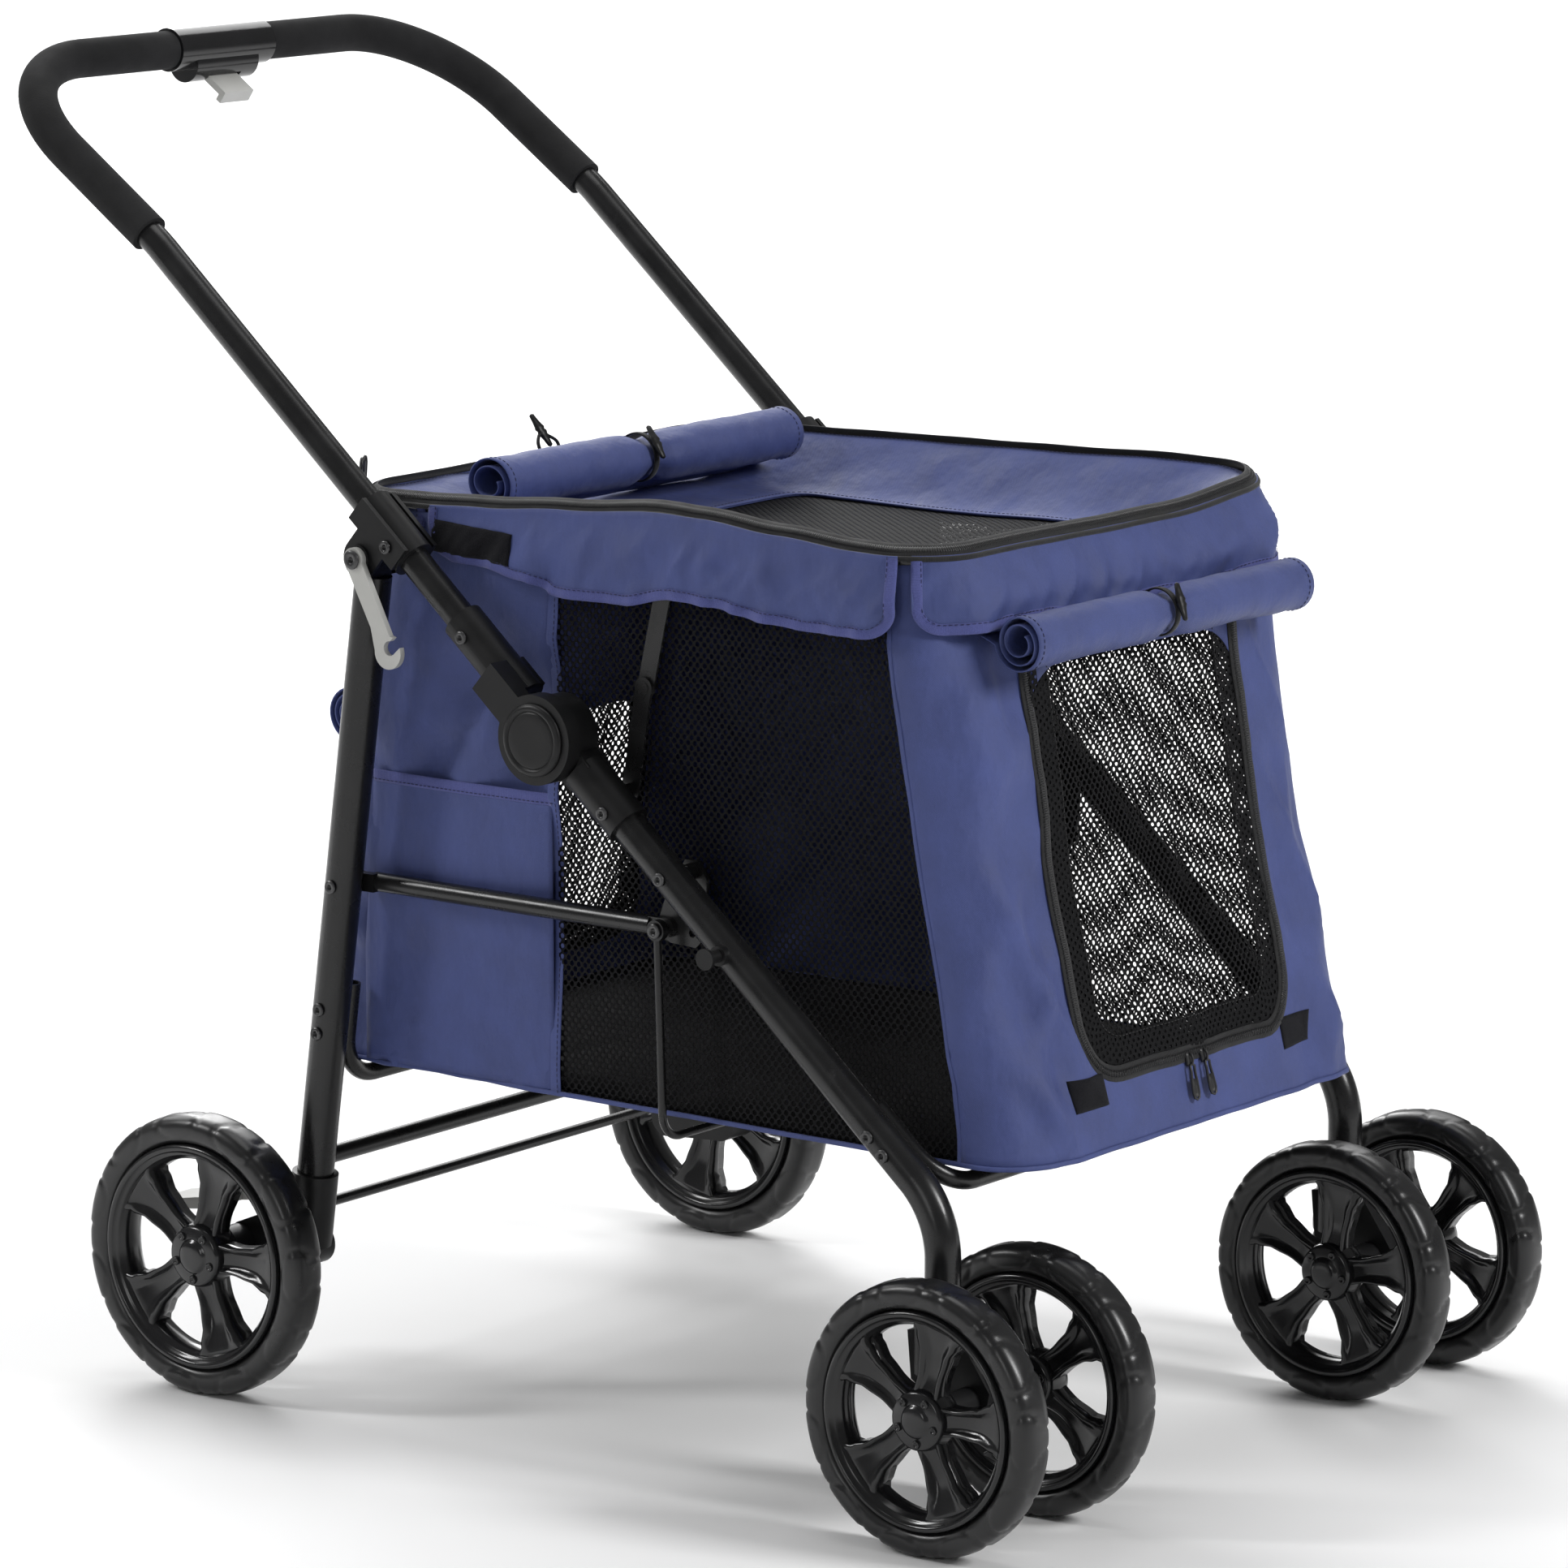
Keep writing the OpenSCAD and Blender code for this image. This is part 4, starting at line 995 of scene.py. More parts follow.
# Side windows: knitted mesh a little slack between its seams
for s, label in ((1, "right"), (-1, "left")):
    def net_at(t, z, s=s):
        y = lerp(seam_front(z) - 3, seam_rear(s) + 3, t)
        bow = 2.2 * sin(pi * t) * sin(pi * clamp((z - ZB) / (ZT - ZB))) * bumps(0, y, z, 110, 5)
        return wall(s * q_of_y(y, z), z, -1.6 + bow, 0.4)

    def net_uv(t, z):
        return (lerp(seam_front(z), SEAM_REAR, t), z)

    net = grid(f"side_window_{label}", spread(0, 1, 40), ROWS, net_at, NET, net_uv)
    cloth_piece(net, "chassis", "side_mesh" if s == 1 else None, slot="mesh", thick=0.5)


# Underside and the mat on it
def floor_at(q, t):
    """The bottom cloth runs out to the walls and turns up inside their hem."""
    x, y = wall(q, ZB + 1.5, -0.8)[:2]
    k = 0.01 + 0.99 * t
    yc = (wall_front(ZB) + wall_rear(ZB)) / 2
    x, y = x * k, yc + (y - yc) * k
    return (x, y, ZB - 1.0 + 0.8 * bumps(x, y, 0, 70) * (1 - t) + 2.5 * smooth((t - 0.95) / 0.05))


under = grid("cabin_underside", spread(-5, 5, 241)[:-1], spread(0, 1, 30), floor_at, MAT,
             lambda q, t: floor_at(q, t)[:2], close_u=True)
cloth_piece(under, "chassis")


def pad_mesh(name, x0, x1, y0, y1, z0, z1, mat):
    """A stitched mat: crowned between its sewn channels, closed all round."""
    us, vs = spread(0, 1, 57), spread(0, 1, 81)
    channels = 4
    verts, uvs = [], []
    for top in (1, 0):
        for u in us:
            for v in vs:
                x, y = lerp(x0, x1, u), lerp(y0, y1, v)
                cx = min(x - x0, x1 - x, 40) / 40
                cy = min(y - y0, y1 - y, 40) / 40
                shrink = 14 * (1 - smooth(cx * 2)) * (1 - smooth(cy * 2))
                x += shrink * (1 if u < 0.5 else -1)
                y += shrink * (1 if v < 0.5 else -1)
                edge = smooth(min(u, 1 - u) * 22) * smooth(min(v, 1 - v) * 30)
                quilt = abs(sin(pi * v * channels)) ** 0.5
                z = lerp(z0, z0 + (z1 - z0) * (0.45 + 0.55 * quilt), edge) if top else z0
                verts.append((x, y, z))
                uvs.append((x, y))
    return clean(make(name, verts, slab_faces(len(us), len(vs)), mat, uvs))


lo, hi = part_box("floor_board")
mat_pad = pad_mesh("floor_mat", lo[0] * 1000 + 6, hi[0] * 1000 - 6, lo[1] * 1000 + 8, hi[1] * 1000 - 8,
                   lo[2] * 1000, hi[2] * 1000 + 3, MAT)
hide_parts("floor_board")
trim(mat_pad, "board", "chassis")

# ------------------------------------------------------------------ seams, hems and binding on the cabin


def wall_path(qs_zs, off=1.0):
    return [wall(q, z, off) for q, z in qs_zs], [normal(q, z) for q, z in qs_zs]


def stitched_band(name, qs_zs, width, off, stitch, thick=0.9, closed=False):
    """A seam or piping along the wall; stitch places its stitches, as a share of its width."""
    pts, ups = wall_path(qs_zs, off)
    b = sweep(name, pts, ups, band(width, thick), BLUE, closed=closed)
    trim(b, "fabric", "chassis", True)
    if stitch:
        st = dashes(name + "_stitches", pts, ups, THREAD, side=width * stitch, lift=thick * 0.75,
                    closed=closed)
        trim(st, "fabric", "chassis", True)


for s, label in ((1, "right"), (-1, "left")):
    zs = spread(ZB + 3, 640, 60)
    line = [(s * q_of_y(seam_rear(s) + 3.5, z), z) for z in zs]
    stitched_band(f"rear_seam_{label}", line, 9.5, off=0.7, stitch=0.2 * s)
    line = [(s * q_of_y(seam_front(z) - 2.0, z), z) for z in zs]
    stitched_band(f"front_seam_{label}", line, 3.2, off=0.4, stitch=0)
hem = [(q, ZB + 1.5) for q in spread(-5, 5, 240)][:-1]
stitched_band("bottom_piping", hem, 3.6, off=0.5, stitch=0, thick=1.8, closed=True)

# ------------------------------------------------------------------ side pockets

for s, label in ((1, "right"), (-1, "left")):
    y0, y1, z0, z1 = -13.0, 164.0, 246.0, 461.0

    def pocket_at(u, z, s=s):
        y = lerp(y0, y1, u)
        t = (z - z0) / (z1 - z0)
        lip = 1.6 * smooth(t) * sin(pi * u)
        slack = 1.2 * sin(pi * u) * sin(pi * clamp(t)) + 0.9 * bumps(0, y, z, 42, 2.2) * sin(pi * u)
        x, yy, zz = wall(s * q_of_y(y, z), z, 0, 0)
        e = smooth(min(u, 1 - u) * 9) * smooth((z - z0) / 14)
        return (x + (-s) * (0.5 + e * (1.3 + min(lip + slack, 2.4))), yy, zz)

    pocket = grid(f"pocket_{label}", spread(0, 1, 36), spread(z0, z1, 40), pocket_at, BLUE,
                  lambda u, z: (u * 170 + 20, z))
    cloth_piece(pocket, "chassis", "side_pockets" if s == 1 else None, thick=1.0)
    pts = [pocket_at(u, z1 - 4) for u in spread(0, 1, 40)]
    pts = [(p[0] + (-s) * 0.7, p[1], p[2]) for p in pts]
    ups = [(-s, 0, 0)] * len(pts)
    b = sweep(f"pocket_hem_{label}", pts, ups, band(9.0, 0.8), BINDING)
    st = dashes(f"pocket_hem_stitches_{label}", pts, ups, THREAD, side=-2.6 * s, lift=0.7)
    for o in (b, st):
        trim(o, "fabric", "chassis", True)

# ------------------------------------------------------------------ doors with their zips


def outline(half, z0, z1, r, q_fn, off=1.0):
    """Path on the wall down one side of an opening, round its bottom and up the other side."""
    quarter, n = spread(0, pi / 2, 10), 26
    xz = [(-half, z) for z in spread(z1, z0 + r, n)]
    xz += [(-half + r - r * cos(a), z0 + r - r * sin(a)) for a in quarter[1:]]
    xz += [(x, z0) for x in spread(-half + r, half - r, n)[1:]]
    xz += [(half - r + r * sin(a), z0 + r - r * cos(a)) for a in quarter[1:]]
    xz += [(half, z) for z in spread(z0 + r, z1, n)[1:]]
    pts = [wall(q_fn(x), z, off) for x, z in xz]
    ups = [normal(q_fn(x), z) for x, z in xz]
    return pts, ups


def door(name, body, hole, q_fn):
    """A mesh door with a wide black border tape; it fills its opening. Its CAD node is named as its body."""
    half, z0, z1, r = hole

    def at(u, z):
        t = (z - z0) / (z1 - z0)
        k = half - 1.5
        if z < z0 + r:
            k -= r - math.sqrt(max(0.0, r * r - (z0 + r - z) ** 2))
        x = lerp(-k, k, u)
        slack = 1.5 * sin(pi * u) * sin(pi * clamp(t)) * bumps(x, 0, z, 80, 9)
        return wall(q_fn(x), z, -0.6 + 0.4 * slack, 1.0)

    def uv(u, z):
        return (lerp(-half, half, u), z)

    net = grid(name, spread(0, 1, 46), spread(z0 + 1.5, z1, 52), at, NET, uv)
    cloth_piece(net, body, body, slot="mesh", thick=0.5)
    pts, ups = outline(half - 14, z0 + 14, z1, max(8.0, r - 9), q_fn, off=-0.1)
    b = sweep(f"{name}_border", pts, ups, band(23.0, 0.8, 0.2), NET_DENSE)
    trim(b, "mesh", body, True)
    pts, ups = outline(half - 23.5, z0 + 23.5, z1, max(8.0, r - 14), q_fn, off=0.4)
    st = dashes(f"{name}_border_stitches", pts, ups, TAPE, lift=0.5)
    trim(st, "mesh", body, True)


def zip_run(name, pts, ups, body, squash=False, tape_w=11.5, closed=False, teeth_lift=1.0):
    t = sweep(name + "_tape", pts, ups, band(tape_w, 1.2, 0.2), TAPE, closed=closed)
    fine, fine_up = resample(pts, ups, 4.0, closed)
    lifted = [(a, b + teeth_lift * 0.6) for a, b in band(4.6, 1.2, 0.6)]
    k = sweep(name + "_cord", fine, fine_up, lifted, COIL, closed=closed)
    d = dashes(name + "_teeth", pts, ups, COIL, length=0.95, gap=0.75, across=4.4, high=1.3,
               lift=teeth_lift + 0.3, closed=closed)
    for o in (t, k, d):
        trim(o, "slider", body, squash)


door("front_door_net", "front_door", FRONT_HOLE, front_q)
door("rear_door_net", "rear_door", REAR_HOLE, rear_q)
pts, ups = outline(124.5, 291.5, 585, 38.5, front_q, off=0.9)
zip_run("front_zip", pts, ups, "chassis", True)
pts, ups = outline(163.5, 267.5, 470, 38.5, rear_q, off=0.9)
zip_run("rear_zip", pts, ups, "chassis", True)


def zip_pull(name, origin, ex, ez):
    """Slider body with its bridge and a tapered pull tab; ex along the zip, ez out of the cloth."""
    ex, ez = Vector(ex).normalized(), Vector(ez).normalized()
    ey = ez.cross(ex)
    made = []

    def put(p):
        return Vector(origin) + ex * p[0] + ey * p[1] + ez * p[2]

    body = []
    for v in spread(-1, 1, 9):
        half = 3.4 + 1.0 * (v > 0) * v
        for a in spread(0, 2 * pi, 17)[:-1]:
            c, s = cos(a), sin(a)
            body.append(put((half * math.copysign(abs(c) ** 0.6, c) * (1 - 0.25 * abs(v) ** 4), v * 5.0,
                             1.4 + 1.9 * math.copysign(abs(s) ** 0.6, s) * (1 - 0.35 * abs(v) ** 4))))
    faces = grid_faces(9, 16, False, True) + [tuple(range(15, -1, -1)), tuple(range(128, 144))]
    made.append(make(name + "_body", body, faces, COIL))
    bridge = [put((0, 4.0 * cos(a), 2.6 + 2.6 * sin(a))) for a in spread(0, pi, 12)]
    made.append(sweep(name + "_bridge", bridge, [ex] * 12, ring_profile(0.9, 8), COIL))
    loop = [put((x, y, 3.6)) for x, y in
            [(-2.6, -5), (-2.2, -9), (-3.0, -16), (-3.4, -24), (-2.4, -27.5), (0, -28.6),
             (2.4, -27.5), (3.4, -24), (3.0, -16), (2.2, -9), (2.6, -5), (0, -3.4)]]
    made.append(sweep(name + "_tab", loop, [ez] * 12, ring_profile(1.05, 8), COIL, closed=True))
    plate = []
    for y, w in ((-14, 2.9), (-19, 3.2), (-24, 3.2), (-27, 2.4)):
        for a in spread(0, 2 * pi, 13)[:-1]:
            plate.append(put((w * cos(a), y, 3.6 + 0.7 * sin(a))))
    faces = grid_faces(4, 12, False, True) + [tuple(range(11, -1, -1)), tuple(range(36, 48))]
    made.append(make(name + "_plate", plate, faces, COIL))
    for o in made:
        clean(o)
    return joined(name, made)


for s, node, body in ((-1, "front_slider_right", "slider_right"), (1, "front_slider_left", "slider_left")):
    x = s * 9.0
    z = 287.5
    up_n = normal(front_q(x), z)
    p = zip_pull(node + "_pull", wall(front_q(x), z, 1.2), (1, 0, 0.06 * s), up_n)
    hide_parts(node)
    trim(p, "slider", body)

# ------------------------------------------------------------------ hook-and-loop patches


def patch(name, x0, x1, z0, z1, q_fn):
    def at(u, v):
        x, z = lerp(x0, x1, u), lerp(z0, z1, v)
        e = min(u, 1 - u, v, 1 - v)
        return wall(q_fn(x), z, 1.0 + 0.9 * smooth(e * 14))

    o = grid(name, spread(0, 1, 22), spread(0, 1, 14), at, HOOKS, lambda u, v: (u * 40, v * 20))
    thicken(o, 0.9, -1)
    trim(o, "fabric", "chassis", True)


patch("hook_patch_right", -146, -107, 274, 296, front_q)
patch("hook_patch_left", 107, 146, 274, 296, front_q)
patch("hook_patch_rear_right", -150, -112, 250, 264, rear_q)
patch("hook_patch_rear_left", 112, 150, 250, 264, rear_q)

# ------------------------------------------------------------------ rolled-up covers with their toggles


def rolled(name, y, z, half, r, start, tail, turns=2.6, oval=1.0):
    """A cover rolled into a loose spiral, nipped in the middle, its tail running to where it is sewn on.
    start is the angle of the tail's tangent, tail the sewn line as (y, z)."""
    us = spread(-1, 1, 61)
    spiral = []
    n = 74
    for i in range(n):
        t = i / (n - 1)
        a = start - 2 * pi * turns * (1 - t)
        rad = lerp(0.34, 0.985, t ** 0.8)
        spiral.append((a, rad))
    verts, uvs = [], []
    tail_n = 8
    for u in us:
        x = u * half
        nip = 1 - 0.30 * math.exp(-((x / 13.0) ** 2)) + 0.07 * bumps(x, 0, 0, 62, len(name))
        flare = 1 + 0.04 * smooth((abs(u) - 0.9) / 0.1)
        sway = 1.8 * bumps(x, 9, 0, 120, len(name))
        run = 0.0
        last = None
        for a, rad in spiral:
            rr = r * rad * nip * flare
            loose = 1 + 0.10 * (1 - rad) * sin(a * 1.7 + 3 * u)
            crease = 0.9 * bumps(x, 12 * cos(a), 12 * sin(a), 17, 3.3) * rad
            crease -= 1.3 * math.exp(-((x / 30.0) ** 2)) * (0.5 + 0.5 * sin(7 * a)) * rad
            py = y + (rr * loose + crease) * cos(a) * oval
            pz = z + (rr * loose + crease) * sin(a) / oval + sway
            if last:
                run += math.dist(last, (py, pz))
            last = (py, pz)
            verts.append((x, py, pz))
            uvs.append((x, run))
        for k in range(1, tail_n + 1):
            t = k / tail_n
            py, pz = lerp(last[0], tail[0], t), lerp(last[1], tail[1], t) + 0.6 * bumps(x, t * 30, 0, 30)
            verts.append((x, py, pz))
            uvs.append((x, run + t * math.dist(last, tail)))
    return make(name, verts, grid_faces(len(us), n + tail_n), BLUE, uvs)


def toggle_mesh(name, centre, along, out):
    """Flat toggle, thick near its middle, nipped in the middle and tapered to both ends."""
    along, out = Vector(along).normalized(), Vector(out).normalized()
    wide = along.cross(out)
    pts = []
    rings = [(-14, 1.0), (-13, 2.4), (-8, 3.0), (-4, 3.9), (-1.8, 4.8), (0, 3.7), (1.8, 4.8), (4, 3.9),
             (8, 3.0), (13, 2.4), (14, 1.0)]
    for d, w in rings:
        for a in spread(0, 2 * pi, 15)[:-1]:
            pts.append(Vector(centre) + along * d + wide * (w * cos(a)) + out * (w * 0.6 * sin(a)))
    faces = grid_faces(len(rings), 14, False, True) + [tuple(range(13, -1, -1)), tuple(range(140, 154))]
    return clean(make(name, pts, faces, PLASTIC))


def elastic(name, pts, r):
    """A flat elastic on a smooth curve through the points."""
    pts2 = []
    for i in range(len(pts) - 1):
        p0 = Vector(pts[max(i - 1, 0)])
        p1, p2 = Vector(pts[i]), Vector(pts[i + 1])
        p3 = Vector(pts[min(i + 2, len(pts) - 1)])
        for t in spread(0, 1, 7)[:-1]:
            bend = (2 * p0 - 5 * p1 + 4 * p2 - p3) * t * t + (3 * p1 - p0 - 3 * p2 + p3) * t ** 3
            pts2.append(0.5 * ((2 * p1) + (p2 - p0) * t + bend))
    pts2.append(Vector(pts[-1]))
    flat = [(a * 2.2, b) for a, b in ring_profile(r, 8)]
    return sweep(name, pts2, [(1, 0.02, 0.01)] * len(pts2), flat, TAPE)


def nip_band(name, y, z, r, body, squash):
    """The elastic that nips a roll in its middle."""
    pts = [(0, y + (r + 0.6) * cos(a), z + (r + 0.6) * sin(a)) for a in spread(0, 2 * pi, 40)]
    ups = [(0, cos(a), sin(a)) for a in spread(0, 2 * pi, 40)]
    b = sweep(name, pts, ups, band(5.5, 1.2, 0.3), TAPE)
    return trim(b, "slider", body, squash)


def roll_edges(name, o, body, squash):
    """Stitching round both ends of a roll, which has 61 rows of 82 points."""
    rows, per = 61, 82
    for k, i in ((0, 1), (1, rows - 2)):
        pts = [Vector(o.data.vertices[i * per + j].co) * 1000 for j in range(18, per)]
        centre = sum(pts, Vector()) / len(pts)
        ups = [Vector((0, p.y - centre.y, p.z - centre.z)) for p in pts]
        st = dashes(f"{name}_edge_stitches_{k}", pts, ups, THREAD, lift=0.85)
        trim(st, "fabric", body, squash)


lo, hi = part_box("front_roll")
fy, fz, fr = (lo[1] + hi[1]) * 500, (lo[2] + hi[2]) * 500, (hi[2] - lo[2]) * 500
front_roll = rolled("front_cover_roll", fy, fz, 166, fr, -0.15, (wall_front(601) + 2, 602))
roll_edges("front_cover", front_roll, "chassis", True)
cloth_piece(front_roll, "chassis", "front_roll", thick=1.1)
nip_band("front_roll_loop", fy, fz, fr * 0.80, "chassis", True)
out = fr * 0.8 + 3.6
toggle_f = toggle_mesh("front_toggle_shaped", (1.5, fy - out * 0.9, fz + out * 0.43), (0.2, 0.43, 0.9),
                       (0, -0.9, 0.43))
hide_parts("front_toggle")
trim(toggle_f, "plastic", "chassis", True)

lo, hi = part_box("rear_roll")
ry, rz, rr = (lo[1] + hi[1]) * 500, (lo[2] + hi[2]) * 500, (hi[2] - lo[2]) * 500
rear_roll = rolled("rear_cover_roll", ry, rz, 160, rr, pi * 0.70, (wall_rear(508) - 1.0, 508))
roll_edges("rear_cover", rear_roll, "chassis", True)
cloth_piece(rear_roll, "chassis", "rear_roll", thick=1.1)
nip_band("rear_roll_loop", ry, rz, rr * 0.84, "chassis", True)
toggle_r = toggle_mesh("rear_roll_toggle", (-1.5, ry + rr * 0.84 + 4.0, rz + 6), (0.3, 0.1, 1), (0, 1, 0.3))
trim(toggle_r, "plastic", "chassis", True)

# ------------------------------------------------------------------ rim, zip and valance

# Half width, front, rear and corner radius of the rim
RW, RF, RR, RC = 209.0, -343.0, 184.0, 52.0
# Height of the rim along each side: (y, z)
RIM_RIGHT = [(-343, 659.5), (-312, 660), (-285, 661), (-215, 666), (-151, 671.5), (-115, 672.5), (-28, 667),
             (47, 662), (107, 659.5), (184, 659)]
RIM_LEFT = [(-343, 669), (-324, 671), (-246, 672), (-144, 669), (-32, 667), (67, 665), (184, 661)]


def rim_height(x, y):
    """The zip line rises and falls a little round the rim."""
    k = smooth((x - 60) / 150)
    swell = math.exp(-(((x + 116) / 60.0) ** 2)) if y < -300 else 0.0
    return lerp(table_at(RIM_RIGHT, y), table_at(RIM_LEFT, y), k) + swell


def rim_at(q, grow=0.0):
    """Point of the rim line and the outward direction; q as for oval_at."""
    return oval_at(q, RW + grow, RF - grow, RR + grow, RC + grow)


def rim_q(y):
    return 2 + (y - RF - RC) / (RR - RF - 2 * RC)


def rim_path(grow, lift, tip):
    """A path right round the rim; tip leans its ups outwards."""
    pts, ups = [], []
    for q in spread(-5, 5, 300)[:-1]:
        x, y, d = rim_at(q, grow)
        z = rim_height(x, y) + lift + 0.7 * bumps(x, y, 0, 45, 1.3)
        pts.append((x, y, z))
        ups.append(Vector((d[0] * tip, d[1] * tip, 1)).normalized())
    return pts, ups


pts, ups = rim_path(0.5, 1.5, 0.9)
zip_run("rim_zip", pts, ups, "rim", tape_w=12.0, closed=True, teeth_lift=0.9)
pts, ups = rim_path(5.5, -3.5, 2.0)
piping = sweep("rim_piping", pts, ups, ring_profile(2.0, 10), TAPE, closed=True)
trim(piping, "slider", "rim")


FRONT_OUT = 21.0  # how far the valance stands off the rim at the front


def skirt(name, q0, q1, lower, n=90, out=(4.0, 11.0), seed=0.0, node=None, ends=(True, True), r=20.0):
    """A hanging flap: rolls over the rim wire and falls to its lower edge with soft waves and puckers.
    Its free ends have rounded lower corners and a bound edge."""
    run = [0.0]
    fine = spread(q0, q1, 400)
    for a, b in zip(fine, fine[1:]):
        run.append(run[-1] + math.dist(rim_at(a, 6)[:2], rim_at(b, 6)[:2]))
    total = run[-1]

    def q_at(d):
        lo, hi = 0, len(run) - 1
        while hi - lo > 1:
            m = (lo + hi) // 2
            lo, hi = (m, hi) if run[m] <= d else (lo, m)
        return lerp(fine[lo], fine[hi], clamp((d - run[lo]) / max(run[hi] - run[lo], 1e-9)))

    ds = [r * (1 - cos(pi / 2 * t)) for t in spread(0, 1, 9)] if ends[0] else [0.0]
    far = [total - r * (1 - cos(pi / 2 * t)) for t in reversed(spread(0, 1, 9))] if ends[1] else [total]
    ds += spread(ds[-1], far[0], n)[1:-1] + far

    def low_at(d):
        x, y = rim_at(q_at(d))[:2]
        z = lower(x, y)
        for on, e in ((ends[0], d), (ends[1], total - d)):
            if on and e < r:
                z += r - math.sqrt(max(0.0, r * r - (r - e) ** 2))
        return z

    def point(d, z, lift=0.0):
        x, y, m = rim_at(q_at(d))
        top = rim_height(x, y) - 1.5
        t = clamp((top - z) / 56.0)
        far = out[1] + (FRONT_OUT - out[1]) * max(0.0, -m[1]) ** 2
        roll_over = out[0] + (far - out[0]) * smooth(t * 1.5)
        hang = ridges(d / 52 + 0.35 * t, t * 0.6, seed) * 5.2 - 4.4
        hang += ridges((d + 46 * t) / 27, t * 0.9, seed + 4) * 3.0
        pucker = 1.9 * bumps(d, z, 0, 15, seed) * smooth((t - 0.25) / 0.4)
        o = roll_over + smooth(t * 1.6) * hang + pucker + lift
        return (x + m[0] * o, y + m[1] * o, z)

    verts, uvs, nt = [], [], 18
    for d in ds:
        top, low = rim_height(*rim_at(q_at(d))[:2]) - 1.5, low_at(d)
        for t in spread(0, 1, nt):
            z = lerp(top, low, t)
            verts.append(point(d, z))
            uvs.append((d, z))
    o = make(name, verts, grid_faces(len(ds), nt), BLUE, uvs)
    edge = [(d, low_at(d)) for d in ds]
    if ends[0]:
        edge = [(0, z) for z in spread(rim_height(*rim_at(q_at(0))[:2]) - 3, edge[0][1] + 2, 8)] + edge
    if ends[1]:
        edge += [(total, z) for z in spread(edge[-1][1] + 2, rim_height(*rim_at(q_at(total))[:2]) - 3, 8)]
    ups = [tuple(Vector((*rim_at(q_at(d))[2], 0.12)).normalized()) for d, z in edge]
    inner = []
    for (d, z), (dp, zp), (dn, zn) in zip(edge, [edge[0]] + edge[:-1], edge[1:] + [edge[-1]]):
        tx, tz = dn - dp, zn - zp
        k = math.hypot(tx, tz) or 1
        inner.append((d - tz / k * 3.4, z + tx / k * 3.4))
    bound = [point(clamp(d, 0, total), z, 0.7) for d, z in inner]
    b = sweep(name + "_binding", bound, ups, band(8.0, 1.5, 0.5), BINDING)
    st_line = [point(clamp(lerp(d0, d1, 1.9), 0, total), lerp(z0, z1, 1.9), 1.0)
               for (d0, z0), (d1, z1) in zip(edge, inner)]
    st = dashes(name + "_stitches", st_line, ups, THREAD, lift=0.9)
    for x in (b, st):
        trim(x, "fabric", "rim")
    cloth_piece(o, "rim", node, squash=False)
    return point


# Lower edge of the side flaps: (y, z)
SIDE_LOW = [(-319, 602), (-288, 602), (-251, 602), (-209, 605), (-167, 611), (-131, 613), (-87, 605),
            (-29, 605), (4, 614), (38, 619), (66, 621), (79, 624), (94, 630)]


def side_lower(_, y):
    return table_at(SIDE_LOW, y)


def front_lower(x, _):
    return 604.5 + 1.2 * sin(x / 23.0) + 4.0 * math.exp(-(((abs(x) - 150) / 50.0) ** 2))


def rear_lower(x, _):
    return 632 + 1.2 * sin(x / 19.0)


SIDE_END, FRONT_END = 1.72, 1.62
flap_right = skirt("valance_right", rim_q(94.0), SIDE_END, side_lower, n=130, seed=1.0, node="valance",
                   out=(8.5, 14.0))
flap_left = skirt("valance_left", -rim_q(94.0), -SIDE_END, side_lower, n=130, seed=4.0, out=(8.5, 14.0))
skirt("valance_front", FRONT_END, -FRONT_END, front_lower, n=120, seed=7.0, out=(5.0, 11.0))
for s, label in ((1, "right"), (-1, "left")):
    skirt(f"valance_rear_{label}", s * 5.0, s * rim_q(104.0), rear_lower, n=60, seed=9.0, out=(2.0, 4.0),
          ends=(False, True), r=12)

for label, flap in (("right", flap_right), ("left", flap_left)):
    def patch_at(u, v, flap=flap):
        e = min(u, 1 - u, v, 1 - v)
        d = lerp(5, 79, u)
        return flap(d, lerp(627, 649, v) - 0.10 * (d - 5) * 0.6, 1.2 + 0.8 * smooth(e * 12))

    o = grid(f"valance_hook_{label}", spread(0, 1, 26), spread(0, 1, 12), patch_at, HOOKS,
             lambda u, v: (u * 74, v * 22))
    thicken(o, 0.8, 0)
    trim(o, "fabric", "rim")

# ------------------------------------------------------------------ lid

LF, LR, LW, LC = RF + 3, RR - 3, RW - 3, 48.0
WIN_FRONT, WIN_REAR, WIN_HALF, WIN_R = -266.0, 44.0, 146.0, 20.0


def lid_height(x, y):
    """Sagging cloth: at the rim's height round its edge, hollow inside it."""
    e = smooth((LW - abs(x)) / 60) * smooth((y - LF) / 84) * smooth((LR - y) / 130)
    drop = 33 * e ** 0.7 + 3.0 * e * bumps(x, y, 0, 120, 6.0)
    crease = 2.2 * ridges((x + y) / 70, (x - y) / 210, 1.4) * (1 - e)
    crease *= smooth((LW - abs(x)) / 16) * smooth((y - LF) / 16)
    return lerp(rim_height(x, y), 661.0, e) - drop - crease


def on_rounded(a, half, y0, y1, r):
    """Point of a rounded rectangle in direction a from its middle."""
    m = reach(cos(a), sin(a), half, (y1 - y0) / 2, r, 700.0)
    return cos(a) * m, (y0 + y1) / 2 + sin(a) * m


angles = [2 * pi * i / 200 for i in range(200)]


def lid_point(a, t):
    ox, oy = on_rounded(a, LW, LF, LR, LC)
    ix, iy = on_rounded(a, WIN_HALF, WIN_FRONT, WIN_REAR, WIN_R)
    x, y = lerp(ix, ox, t), lerp(iy, oy, t)
    return (x, y, lid_height(x, y))


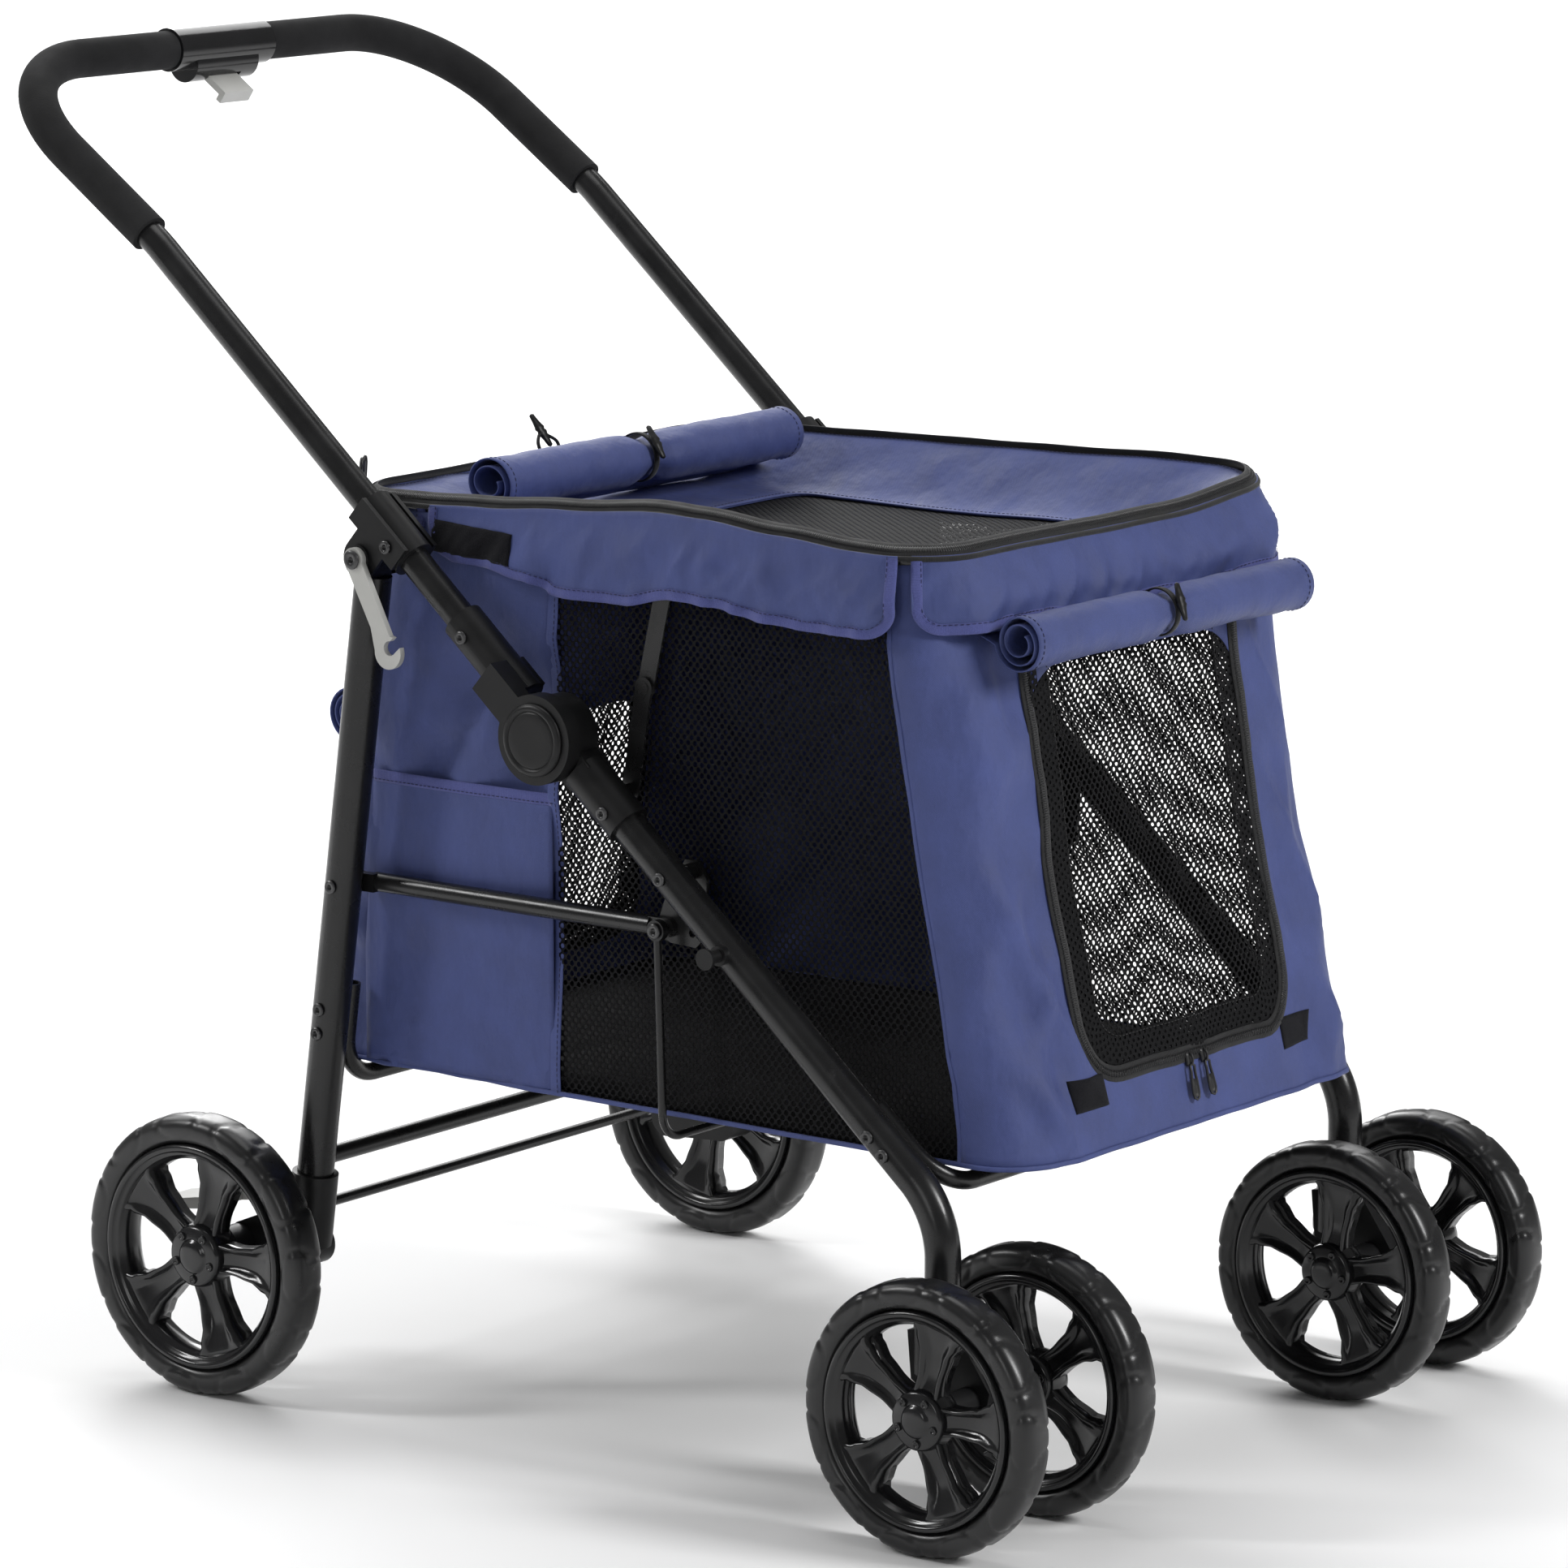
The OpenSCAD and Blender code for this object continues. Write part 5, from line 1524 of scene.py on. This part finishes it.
lid_cloth = grid("lid_cloth", angles, spread(0, 1, 16), lid_point, BLUE,
                 lambda a, t: lid_point(a, t)[:2], close_u=True)
cloth_piece(lid_cloth, "lid", "lid_border", squash=False)


def lid_net_at(a, t):
    ix, iy = on_rounded(a, WIN_HALF, WIN_FRONT, WIN_REAR, WIN_R)
    yc = (WIN_FRONT + WIN_REAR) / 2
    k = 0.02 + 1.02 * t
    x, y = ix * k, yc + (iy - yc) * k
    return (x, y, lid_height(x, y) - 1.4)


lid_net = grid("lid_net", angles, spread(0, 1, 24), lid_net_at, NET_DENSE, lambda a, t: lid_net_at(a, t)[:2],
               close_u=True)
cloth_piece(lid_net, "lid", "lid_mesh", squash=False, slot="mesh", thick=0.5)
pts = [Vector(lid_point(a, 0.02)) + Vector((0, 0, 1.0)) for a in angles]
ups = [(0, 0, 1)] * len(pts)
hem = sweep("lid_window_hem", pts, ups, band(7.0, 1.0), BLUE, closed=True)
hem_line = dashes("lid_window_hem_stitches", pts, ups, THREAD, side=1.6, lift=0.9, closed=True)
pts = [Vector(lid_point(a, 0.965)) + Vector((0, 0, 1.2)) for a in angles]
edge_line = dashes("lid_edge_stitches", pts, ups, THREAD, closed=True)
for o in (hem, hem_line, edge_line):
    trim(o, "fabric", "lid")

lo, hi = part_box("lid_roll")
ly, lz, lr = (lo[1] + hi[1]) * 500, (lo[2] + hi[2]) * 500, (hi[2] - lo[2]) * 500
lz -= 13
tail = (ly + 30, lid_height(120, ly + 30) + 1.0)
lid_roll = rolled("lid_cover_roll", ly, lz, 170, lr * 1.08, -pi * 0.30, tail, turns=2.4, oval=1.06)
roll_edges("lid_cover", lid_roll, "lid", False)
cloth_piece(lid_roll, "lid", "lid_roll", squash=False)
nip_band("lid_roll_loop", ly, lz, lr * 0.86, "lid", False)
out = lr * 0.86 + 3.6
toggle_l = toggle_mesh("lid_toggle_shaped", (0, ly - out * 0.8, lz + out * 0.6), (0.08, 0.6, 0.8),
                       (0, -0.8, 0.6))
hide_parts("lid_toggle")
trim(toggle_l, "plastic", "lid")
tail_toggle = toggle_mesh("lid_loose_toggle", (4, 176, 681), (-0.25, 0.5, 0.85), (0, -1, 0.4))
trim(tail_toggle, "plastic", "lid")
e = elastic("lid_loose_loop", [(20, 170, 663), (16, 171, 672), (8, 173, 677), (3, 175, 680), (-3, 173, 673),
                               (-2, 170, 663)], 0.8)
trim(e, "slider", "lid")

# Zip pulls that hang at the rim's rear right corner
for k, z in enumerate((655, 653)):
    x, y, d = rim_at(3.5 + 0.28 * k, 7.0)
    p = zip_pull(f"rim_pull_{k}", (x, y, z), (d[1], -d[0], 0.15), (d[0], d[1], 0.1))
    trim(p, "slider", "rim")
